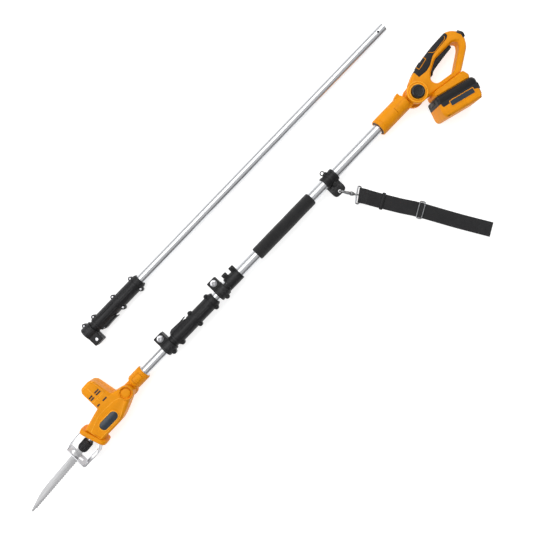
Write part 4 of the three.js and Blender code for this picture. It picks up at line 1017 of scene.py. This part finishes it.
class SAW_OT_couplers(bpy.types.Operator):
    """Models the two couplers with their clamps, bolts and screws"""
    bl_idname = "saw.couplers"
    bl_label = "Couplers"

    def execute(self, context):
        for prefix, body, length, place, slot in (
                ("coupler", "telescope", COUPLER_LENGTH, MAIN_PLACE, "matte_black"),
                ("extension", "extension", EXTENSION_COUPLER_LENGTH, SPARE_PLACE, "chrome")):
            neck_end = COUPLER_START - GAP
            ring = clamp(0, CLAMP_WIDTH, rod(CLAMP_WIDTH - 3, neck_end, CLAMP_R - 4, (0, 0, 0), "X", 64, 0.4))
            cut(ring, clamp_slit(0, neck_end + 3))
            bolt = clamp_bolt(0, CLAMP_WIDTH)
            shell, lugs = coupler(length)
            upper, lower = halves(shell)
            for piece in (ring, bolt, upper, lower):
                piece.data.transform(place)
            finished(ring, prefix + "_ring", body, "matte_black", [prefix + "_clamp"])
            finished(bolt, prefix + "_bolt_turned", prefix + "_bolt", "chrome", [prefix + "_clamp_bolt"])
            for piece, side in ((upper, "upper"), (lower, "lower")):
                finished(piece, prefix + "_half_" + side, body, "matte_black", [prefix + "_shell_" + side])
            centre = place.to_translation() / MM
            spots = [(centre.x + x, centre.y + side, centre.z + LUG_HALF) for x in lugs for side in (-LUG_Y, LUG_Y)]
            side = centre.y + (-1 if prefix == "coupler" else 1) * (LUG_Y + 1)
            spots.append((centre.x + CLAMP_WIDTH / 2, side, centre.z + LUG_HALF))
            row_of_screws(prefix + "_screws", body, spots, 3.1, slot)
        return {"FINISHED"}


class SAW_OT_sleeves(bpy.types.Operator):
    """Models the upper clamp with its bolt, and the split sleeve at the end of the fixed tube"""
    bl_idname = "saw.sleeves"
    bl_label = "Upper clamp and sleeve"

    def execute(self, context):
        neck_start, neck_end = UPPER_CLAMP_X + CLAMP_WIDTH, SLEEVE_X[0] - GAP
        neck = rod(neck_start - 2, neck_end, OUTER_R + 2.6, (0, 0, 0), "X", 64, 0.5)
        cut(neck, block((neck_start, 8, -40), (neck_end + 2, 40, 40)))
        ring = clamp(UPPER_CLAMP_X, CLAMP_WIDTH, neck)
        cut(ring, clamp_slit(UPPER_CLAMP_X, neck_start + 1), bore(OUTER_TUBE_START - GAP, neck_end + 2, OUTER_R + GAP))
        finished(ring, "upper_ring", "pole", "matte_black", ["upper_clamp"])
        bolt = clamp_bolt(UPPER_CLAMP_X, CLAMP_WIDTH)
        finished(bolt, "upper_bolt_turned", "upper_bolt", "chrome", ["upper_clamp_bolt"])
        low, high = SLEEVE_X
        body = turned([(low, SLEEVE_R - 0.8), (low + 0.8, SLEEVE_R), *groove(low + 4, SLEEVE_R),
                       *groove(high - 5, SLEEVE_R), (high - 0.8, SLEEVE_R), (high, SLEEVE_R - 0.8)], sides=72)
        starts = (low + 4, high - SLEEVE_BOSS)
        welded(body, *[block((x, 8, -9), (x + SLEEVE_BOSS, 27, 9), 1.8, 3) for x in starts])
        cut(body, bore(low - 1, high + 1, OUTER_R + GAP))
        for piece, side in zip(halves(body), ("upper", "lower")):
            finished(piece, "sleeve_half_" + side, "pole", "matte_black", ["sleeve_" + side])
        row_of_screws("sleeve_screws", "pole", [(x + SLEEVE_BOSS / 2, 20.5, 9) for x in starts], 4.2, "matte_black")
        return {"FINISHED"}


STRAP_CLAMP_X, STRAP_CLAMP_R = (1096, 1134), 17.6
TAB_X, TAB_Y, TAB_THICK = (1093, 1130), -47, 4
TAB_HOLE, TAB_HOLE_R = (1112, -39.5), 4.5
STRAP_SCREW_Y, STRAP_EYE_Y = (15, -17), 22.8


class SAW_OT_strap_clamp(bpy.types.Operator):
    """Models the clamp that carries the strap, with its tab, wire eye and screws"""
    bl_idname = "saw.strap_clamp"
    bl_label = "Strap clamp"

    def execute(self, context):
        low, high = STRAP_CLAMP_X
        middle = (low + high) / 2
        radius = STRAP_CLAMP_R
        panel = middle - 8.4 - low
        band = turned([(low, radius - 1), (low + 1, radius), *groove(low + 6, radius, panel, 0.8, 0.6),
                       *groove(middle + 2.4, radius, panel, 0.8, 0.6), (high - 1, radius), (high, radius - 1)],
                      sides=72)
        welded(band, *[rod(-10, 10, 6, (middle, y, 0), "Z", 32, 0.8) for y in STRAP_SCREW_Y])
        cut(band, bore(low - 1, high + 1, OUTER_R + GAP))
        upper, lower = halves(band)
        bends = [(TAB_HOLE[0] + along, STRAP_EYE_Y + side, 2.6) for along, side in ring_points(5.1)]
        eye = wire(bends, 1.35, closed=True)
        finished(joined(upper, eye), "strap_band_upper", "pole", "matte_black", ["strap_clamp_upper"])
        tab_low = -GAP / 2 - TAB_THICK
        tab = slab(rounded([(TAB_X[0], -12), (TAB_X[1], -12), (TAB_X[1], TAB_Y, 12), (TAB_X[0], TAB_Y, 12)]),
                   tab_low, -GAP / 2)
        bevelled(tab, 0.8, 3, 50)
        welded(tab, turned([(-GAP / 2 - 1, TAB_HOLE_R + 3), (-GAP / 2 + 0.4, TAB_HOLE_R + 2.6)],
                           (*TAB_HOLE, 0), "Z", 40))
        cut(tab, rod(-20, 20, TAB_HOLE_R, (*TAB_HOLE, 0), "Z", 40), bore(TAB_X[0] - 1, TAB_X[1] + 1, OUTER_R + GAP))
        welded(lower, tab)
        finished(lower, "strap_band_lower", "pole", "matte_black", ["strap_clamp_lower"])
        row_of_screws("strap_clamp_screws", "pole", [(middle, y, 10) for y in STRAP_SCREW_Y], 3.2, "matte_black")
        return {"FINISHED"}


# ---------------------------------------------------------------- the two sockets
SOCKET_X, SOCKET_R, SOCKET_BUSH_R, SOCKET_BUSH_LENGTH = (1291, 1384), 22.3, 18.5, 40
HANDLE_KNUCKLE_R, HANDLE_KNUCKLE_HALF, KNOB_STEM_R = 20, 12.5, 6
HEAD_SOCKET_X, HEAD_SOCKET_R, HEAD_TUBE_X = (409, 450), 19, 414
HEAD_SLOTS = ((314, 324, 49.8), (314, 324, 43.7), (333, 346, 50), (333, 346, 44), (315, 322, 22.5), (334, 346, 22.5))
HEAD_DISC_R, KNUCKLE_HALF, HINGE_PIN_R = 18.2, 11.5, 4


class SAW_OT_sockets(bpy.types.Operator):
    """Models the orange sockets at both ends of the pole"""
    bl_idname = "saw.sockets"
    bl_label = "Sockets"

    def execute(self, context):
        low, high = SOCKET_X
        radius = SOCKET_R
        body = turned([(low, radius - 1.6), (low + 0.8, radius - 0.6), (low + 3, radius),
                       *groove(low + 9, radius, 2, 0.5), (high - 2, radius), (high, radius - 1.4)], sides=80)
        knuckle = rod(-HANDLE_KNUCKLE_HALF, HANDLE_KNUCKLE_HALF, HANDLE_KNUCKLE_R, (*HANDLE_PIVOT, 0), "Z", 72, 0.8)
        neck = block((high - 8, -22, -HANDLE_KNUCKLE_HALF), (HANDLE_PIVOT[0], 8, HANDLE_KNUCKLE_HALF), 0.8)
        crest = slab(rounded([(high - 24, 12), (high - 18, 22, 6), (high - 5, 27, 4), (high, 27, 2), (high, 12)]),
                     -10, 10)
        bevelled(crest, 2, 3, 50)
        welded(body, knuckle, neck, crest)
        bush_end = low + 2 + SOCKET_BUSH_LENGTH
        cut(body, bore(low - 1, bush_end + GAP, SOCKET_BUSH_R + GAP), bore(bush_end, high - 16, radius - 3.5),
            rod(-40, 40, KNOB_STEM_R + GAP, (*HANDLE_PIVOT, 0), "Z", 32),
            block((1346, 5.5, 20.8), (1381, 6.4, 30)), block((1346, -12, 17.6), (1347, 6.4, 30)))
        for piece, side in zip(halves(body), ("upper", "lower")):
            finished(piece, "socket_half_" + side, "pole", "matte_orange", ["socket_shell_" + side])
        bush = turned([(low + 1, SOCKET_BUSH_R - 0.5), (low + 1.5, SOCKET_BUSH_R), (bush_end, SOCKET_BUSH_R),
                       (bush_end, OUTER_R + GAP), (low + 1, OUTER_R + GAP)], sides=72, hollow=True)
        finished(bush, "socket_liner", "pole", "matte_black", ["socket_bush"])

        low, high = HEAD_SOCKET_X
        radius = HEAD_SOCKET_R
        body = turned([(low, radius - 2), (low + 4, radius), *groove(high - 6, radius), (high - 3, radius),
                       (high, radius - 2)], sides=80)
        welded(body, rod(-KNUCKLE_HALF, KNUCKLE_HALF, HEAD_DISC_R - 1.2, (*HEAD_PIVOT, 0), "Z", 64, 0.8),
               block((HEAD_PIVOT[0], -15, -KNUCKLE_HALF), (low + 3, 12, KNUCKLE_HALF), 0.8))
        panel = block((low + 7, -9, 15.6), (high - 9, 9, 30), 1)
        inner = block((low + 8, -8, 10), (high - 10, 8, 32), 1)
        cut(body, bore(HEAD_TUBE_X - GAP, high + 1, TUBE_R + GAP), cut(panel, inner),
            rod(-40, 40, HINGE_PIN_R + GAP, (*HEAD_PIVOT, 0), "Z", 32))
        finished(body, "head_socket_shell", "head_mount", "matte_orange", ["head_socket"])
        collar = turned([(high - 1, 15.8), (high + 0.8, 15.8), (high + 1.6, 15), (high + 1.6, TUBE_R + 0.1),
                         (high - 1, TUBE_R + 0.1)], sides=64, hollow=True)
        finished(collar, "mouth_ring", "head_mount", "aluminium_tube")
        return {"FINISHED"}


# ---------------------------------------------------------------- fittings of the head
def rim(outer, inner, low, high, edge=0.4):
    """A raised line that follows an outline."""
    piece = slab(outer, low, high)
    cut(piece, slab(inner, low - 1, high + 1))
    return bevelled(piece, edge, 2, 50)


def tilted(piece, place, angle):
    """Stands a piece in a group's own tilted frame."""
    piece.data.transform(Matrix.Translation(Vector((*place, 0)) * MM) @ Matrix.Rotation(math.radians(angle), 4, "Z"))
    return piece


class SAW_OT_head_fittings(bpy.types.Operator):
    """Adds the head's hinge caps, label rims, ribs and nose flange"""
    bl_idname = "saw.head_fittings"
    bl_label = "Head fittings"

    def execute(self, context):
        cap = turned([(23.4, 18.4), (27.2, 18.4), (29.2, 17.2), (29.6, 16.2), (29.2, 15), (24.2, 14.4), (24.2, 11.6),
                      (28.2, 10.8), (28.8, 9.8), (29, 6)], (*HEAD_PIVOT, 0), "Z", 72)
        finished(on_both_faces(cap), "hinge_caps", "head", "matte_orange")
        label = rim(stadium(278.4, 338.6, -35.6, -8.4), stadium(280.7, 336.3, -33.3, -10.7), 25.2, 27.3, 0.6)
        motor_rib = block((327.6, 27, 25), (329.8, 70, 27.4), 0.7)
        pad = rim(rounded([(311.5, 35, 4), (311.5, 76, 8), (348, 76, 8), (352, 35, 4)]),
                  rounded([(312.7, 36.2, 4), (312.7, 74.8, 7), (347, 74.8, 7), (350.7, 36.2, 4)]), 25.4, 26.5, 0.3)
        spine = rim(rounded([(256, -10, 3), (300, 5, 6), (352, 4, 10), (368, -2, 6), (371, -17, 6), (352, -27, 8),
                             (334, -38.4, 8), (262, -39.4, 3)]),
                    rounded([(258, -11.4, 3), (300.3, 3.6, 6), (351.6, 2.6, 10), (366.8, -3, 6), (369.5, -16.4, 6),
                             (351.4, -25.4, 8), (333.4, -37, 8), (263, -38, 3)]), 25.4, 26.4, 0.3)
        # The ridges take the lighter orange: a painted highlight along the rims.
        finished(joined(label, motor_rib, pad, spine), "head_ridges", "head", "matte_orange", paint="orange_ridge")
        corners = [(-27, -36.5, 16), (27, -36.5, 16), (27, 36.5, 16), (-27, 36.5, 16)]
        flange = slab(rounded(corners), 0, 12)
        bevelled(flange, 3.4, 4, 50)
        flange.data.transform(Matrix.Rotation(math.pi / 2, 4, "Y"))
        for low, high in ((32, 35.6), (-33, -21)):
            cut(flange, block((-1, low, -15), (3, high, 15)))
        tilted(flange, NOSE_FRONT, NOSE_TILT)
        cut(flange, tilted(rod(-20, 90, 16, (0, 0, 0), "X", 48), BLADE_ROOT, BLADE_TILT))
        finished(flange, "nose_rim", "head", "matte_orange", ["nose_flange"])
        # Black strips over the vent slots: painted shade, the dark inside the slots.
        slot_shade_strips = [block((x0 - 0.6, y - 2, 25.6), (x1 + 0.6, y + 2, 26.3), 0.2) for x0, x1, y in HEAD_SLOTS]
        finished(joined(*slot_shade_strips), "vent_slot_shade", "head", "matte_black")
        return {"FINISHED"}


class SAW_OT_collar(bpy.types.Operator):
    """Models the ribbed collar that locks the blade"""
    bl_idname = "saw.collar"
    bl_label = "Blade collar"

    def execute(self, context):
        length, radius = 29, 12.6
        body = turned([(0, radius - 1.3), (2.2, radius), (length - 2, radius), (length, radius - 1)], sides=60)
        ribs = [rod(3.5, length - 3, 1.05, (0, y, z), "X", 10, 0.5) for y, z in ring_points(radius - 0.2, 20)]
        welded(body, joined(*ribs))
        cut(body, bore(-1, 14.3, 10.5), bore(13, length + 1, 6.3))
        tilted(body, BLADE_ROOT, BLADE_TILT)
        finished(body, "ribbed_collar", "collar", "matte_black", ["blade_collar"])
        return {"FINISHED"}


# ---------------------------------------------------------------- fittings of the handle and battery
HANDLE_DISC_HALF, KNOB_R = 23, 16.5
LOCK_AT, LOCK_TILT = (1471, 35.2), 11.5
BATTERY_HALF, SCREW_FACE = 36, -16


class SAW_OT_handle_fittings(bpy.types.Operator):
    """Adds the rings round the knob, the knob, the grip's orange lines and the trigger's ribs"""
    bl_idname = "saw.handle_fittings"
    bl_label = "Handle fittings"

    def execute(self, context):
        top = HANDLE_DISC_HALF
        ring = turned([(top - 0.6, 26.3), (top + 1.2, 26.1), (top + 2, 25.2), (top + 2, 23.4), (top - 0.1, 22.4),
                       (top - 0.1, 20.8), (top + 2.2, 20.2), (top + 2.6, 19.4), (top + 2.6, 18.2), (top + 2, 17.6),
                       (top - 0.6, 17.6)], (*HANDLE_PIVOT, 0), "Z", 80, hollow=True)
        # The rings take the lighter orange: a painted highlight.
        finished(ring, "knob_rings", "handle", "matte_orange", paint="orange_ridge")
        low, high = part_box("hinge_knob")
        base, crown = (low.z - DATUM.z) / MM, (high.z - DATUM.z) / MM
        skirt = crown - 8
        knob = turned([(base, KNOB_STEM_R), (skirt, KNOB_STEM_R), (skirt, KNOB_R), (skirt + 5.4, KNOB_R),
                       (skirt + 6.6, KNOB_R - 0.5), (crown - 0.4, KNOB_R - 1.8), (crown, KNOB_R - 3),
                       (crown - 0.2, KNOB_R - 4.4), (crown - 1.0, KNOB_R - 5.6), (crown - 1.1, KNOB_R - 9)],
                      (*HANDLE_PIVOT, 0), "Z", 72)
        finished(knob, "domed_knob", "knob", "matte_black", ["hinge_knob"], "gloss_black")
        skin_top = 16.15
        bends = ((1507, 40.5), (1517, 31.2), (1527, 31.4), (1545, 33.2), (1557, 34.8), (1561.5, 38.6), (1562.5, 41))
        stripe = wire([(x, y, skin_top) for x, y in bends], 0.75, sides=8)
        frame_lines = rim(rounded([(-12.5, -6, 2), (19.5, -6, 2), (19.5, 4, 2), (-12.5, 4, 2)]),
                          rounded([(-11, -4.6, 1.6), (18, -4.6, 1.6), (18, 5, 0), (-11, 5, 0)]), 15.6, 16.8, 0.3)
        tilted(frame_lines, LOCK_AT, LOCK_TILT)
        finished(joined(stripe, frame_lines), "grip_lines", "handle", "matte_orange")
        pad = slab(rounded([(1596.4, 28, 1.5), (1603.6, 14.2, 5), (1599, 3.6, 2), (1592.2, 4.8, 2), (1595.4, 13.6, 4),
                            (1589.4, 25, 2)]), -16.5, 16.5)
        finished(bevelled(pad, 0.7, 3, 50), "bumper_pad", "handle", "rubber_grey", paint="gloss_black")
        ribs = [block((x, 1.5 + (x - 1490) * 0.1, 7.4), (x + 2, 20, 8.6), 0.4) for x in range(1492, 1556, 5)]
        finished(joined(*ribs), "trigger_ribs", "trigger", "matte_black")
        spots = [(x, y, SCREW_FACE) for x, y in ((1453, 26), (1451, -27), (1584, 10), (1545, -34))]
        row_of_screws("handle_screws", "handle", spots, 3.0, "steel", -1)
        return {"FINISHED"}


class SAW_OT_battery_fittings(bpy.types.Operator):
    """Adds the blank name plate, the dark side panel, and the ribs of the battery and its foot"""
    bl_idname = "saw.battery_fittings"
    bl_label = "Battery fittings"

    def execute(self, context):
        face = BATTERY_HALF
        inner = rounded([(23.8, -25.8, 2.4), (88.2, -25.8, 2.4), (88.2, -38.2, 2.4), (23.8, -38.2, 2.4)])
        line = rim(rounded([(22, -24, 3), (90, -24, 3), (90, -40, 3), (22, -40, 3)]), inner, face - 0.3, face + 0.55,
                   0.25)
        field = slab(inner, face - 0.3, face + 0.25)
        dark = slab(rounded([(2, -19.5, 2), (106, -19.5, 2), (105, -36, 3), (94, -31, 8), (60, -24.4, 12),
                             (26, -23, 8), (24, -30, 3), (3, -31, 4)]), face - 0.4, face + 0.2)
        for piece, name, slot in ((line, "plate_rims", "matte_orange"), (field, "blank_plates", "plate_navy"),
                                  (dark, "side_panels", "rubber_grey")):
            finished(tilted(on_both_faces(piece), BATTERY_CORNER, BATTERY_TILT), name, "battery", slot)
        ribs = [block((7 + 4 * k, 2.6, -28.6), (8.8 + 4 * k, 14 - 0.2 * k, 28.6), 0.5) for k in range(5)]
        foot = tilted(joined(*ribs), BATTERY_CORNER, BATTERY_TILT)
        finished(foot, "foot_ribs", "handle", "matte_orange")
        return {"FINISHED"}


# ---------------------------------------------------------------- the moulded shells, rounded
# Node, body, slot, edge radius and steps of each.
MOULDED = (
    ("blade", "blade_drive", "steel", 0.25, 1),
    ("head_shell_upper", "head", "matte_orange", 0.9, 3),
    ("head_shell_lower", "head", "matte_orange", 0.9, 3),
    ("head_label", "head", "plate_navy", 0.4, 2),
    ("shoe", "head", "chrome", 0.4, 2),
    ("coupler_lever", "coupler_lever", "matte_black", 0.7, 2),
    ("handle_shell_upper", "handle", "matte_orange", 0.9, 3),
    ("handle_shell_lower", "handle", "matte_orange", 0.9, 3),
    ("grip_overmould", "handle", "rubber_grey", 0.5, 2),
    ("rear_bumper", "handle", "rubber_grey", 0.8, 2),
    ("trigger", "trigger", "matte_black", 0.8, 2),
    ("lock_slider", "lock", "matte_black", 0.4, 2),
    ("battery_foot", "handle", "matte_orange", 0.8, 2),
    ("battery_cover", "battery", "matte_black", 0.9, 3),
    ("battery_case", "battery", "matte_orange", 0.9, 3),
    ("battery_button", "battery_button", "matte_black", 0.7, 2),
    ("extension_lever", "extension_lever", "matte_black", 0.7, 2),
)


class SAW_OT_shells(bpy.types.Operator):
    """Rounds the edges of the moulded shells and fittings"""
    bl_idname = "saw.shells"
    bl_label = "Moulded shells"

    def execute(self, context):
        for shape, body, slot, edge, steps in MOULDED:
            piece = bevelled(from_frame(shape), edge, steps)
            finished(piece, shape + "_moulded", body, slot, [shape], here=True)
        return {"FINISHED"}


OPERATORS = (SAW_OT_stage, SAW_OT_materials, SAW_OT_shells, SAW_OT_tubes, SAW_OT_foam, SAW_OT_hook, SAW_OT_strap,
             SAW_OT_couplers, SAW_OT_sleeves, SAW_OT_strap_clamp, SAW_OT_sockets, SAW_OT_head_fittings,
             SAW_OT_collar, SAW_OT_handle_fittings, SAW_OT_battery_fittings)


class SAW_PT_pieces(bpy.types.Panel):
    """The saw's pieces, in the order that they are made"""
    bl_label = "Pole Saw"
    bl_idname = "SAW_PT_pieces"
    bl_space_type = "VIEW_3D"
    bl_region_type = "UI"
    bl_category = "Pole Saw"

    def draw(self, context):
        layout = self.layout
        for settings in (context.scene.saw_sizes, context.scene.saw_colours):
            box = layout.box()
            for name in settings.__annotations__:
                box.prop(settings, name)
        for operator in OPERATORS:
            layout.operator(operator.bl_idname)


CLASSES = (SawColours, SawSizes, *OPERATORS, SAW_PT_pieces)


def register():
    for made in CLASSES:
        bpy.utils.register_class(made)
    bpy.types.Scene.saw_colours = bpy.props.PointerProperty(type=SawColours)
    bpy.types.Scene.saw_sizes = bpy.props.PointerProperty(type=SawSizes)


def unregister():
    del bpy.types.Scene.saw_colours
    del bpy.types.Scene.saw_sizes
    for made in reversed(CLASSES):
        bpy.utils.unregister_class(made)


def main():
    register()
    for operator in OPERATORS:
        group, name = operator.bl_idname.split(".")
        getattr(getattr(bpy.ops, group), name)()


if __name__ == "__main__":
    main()
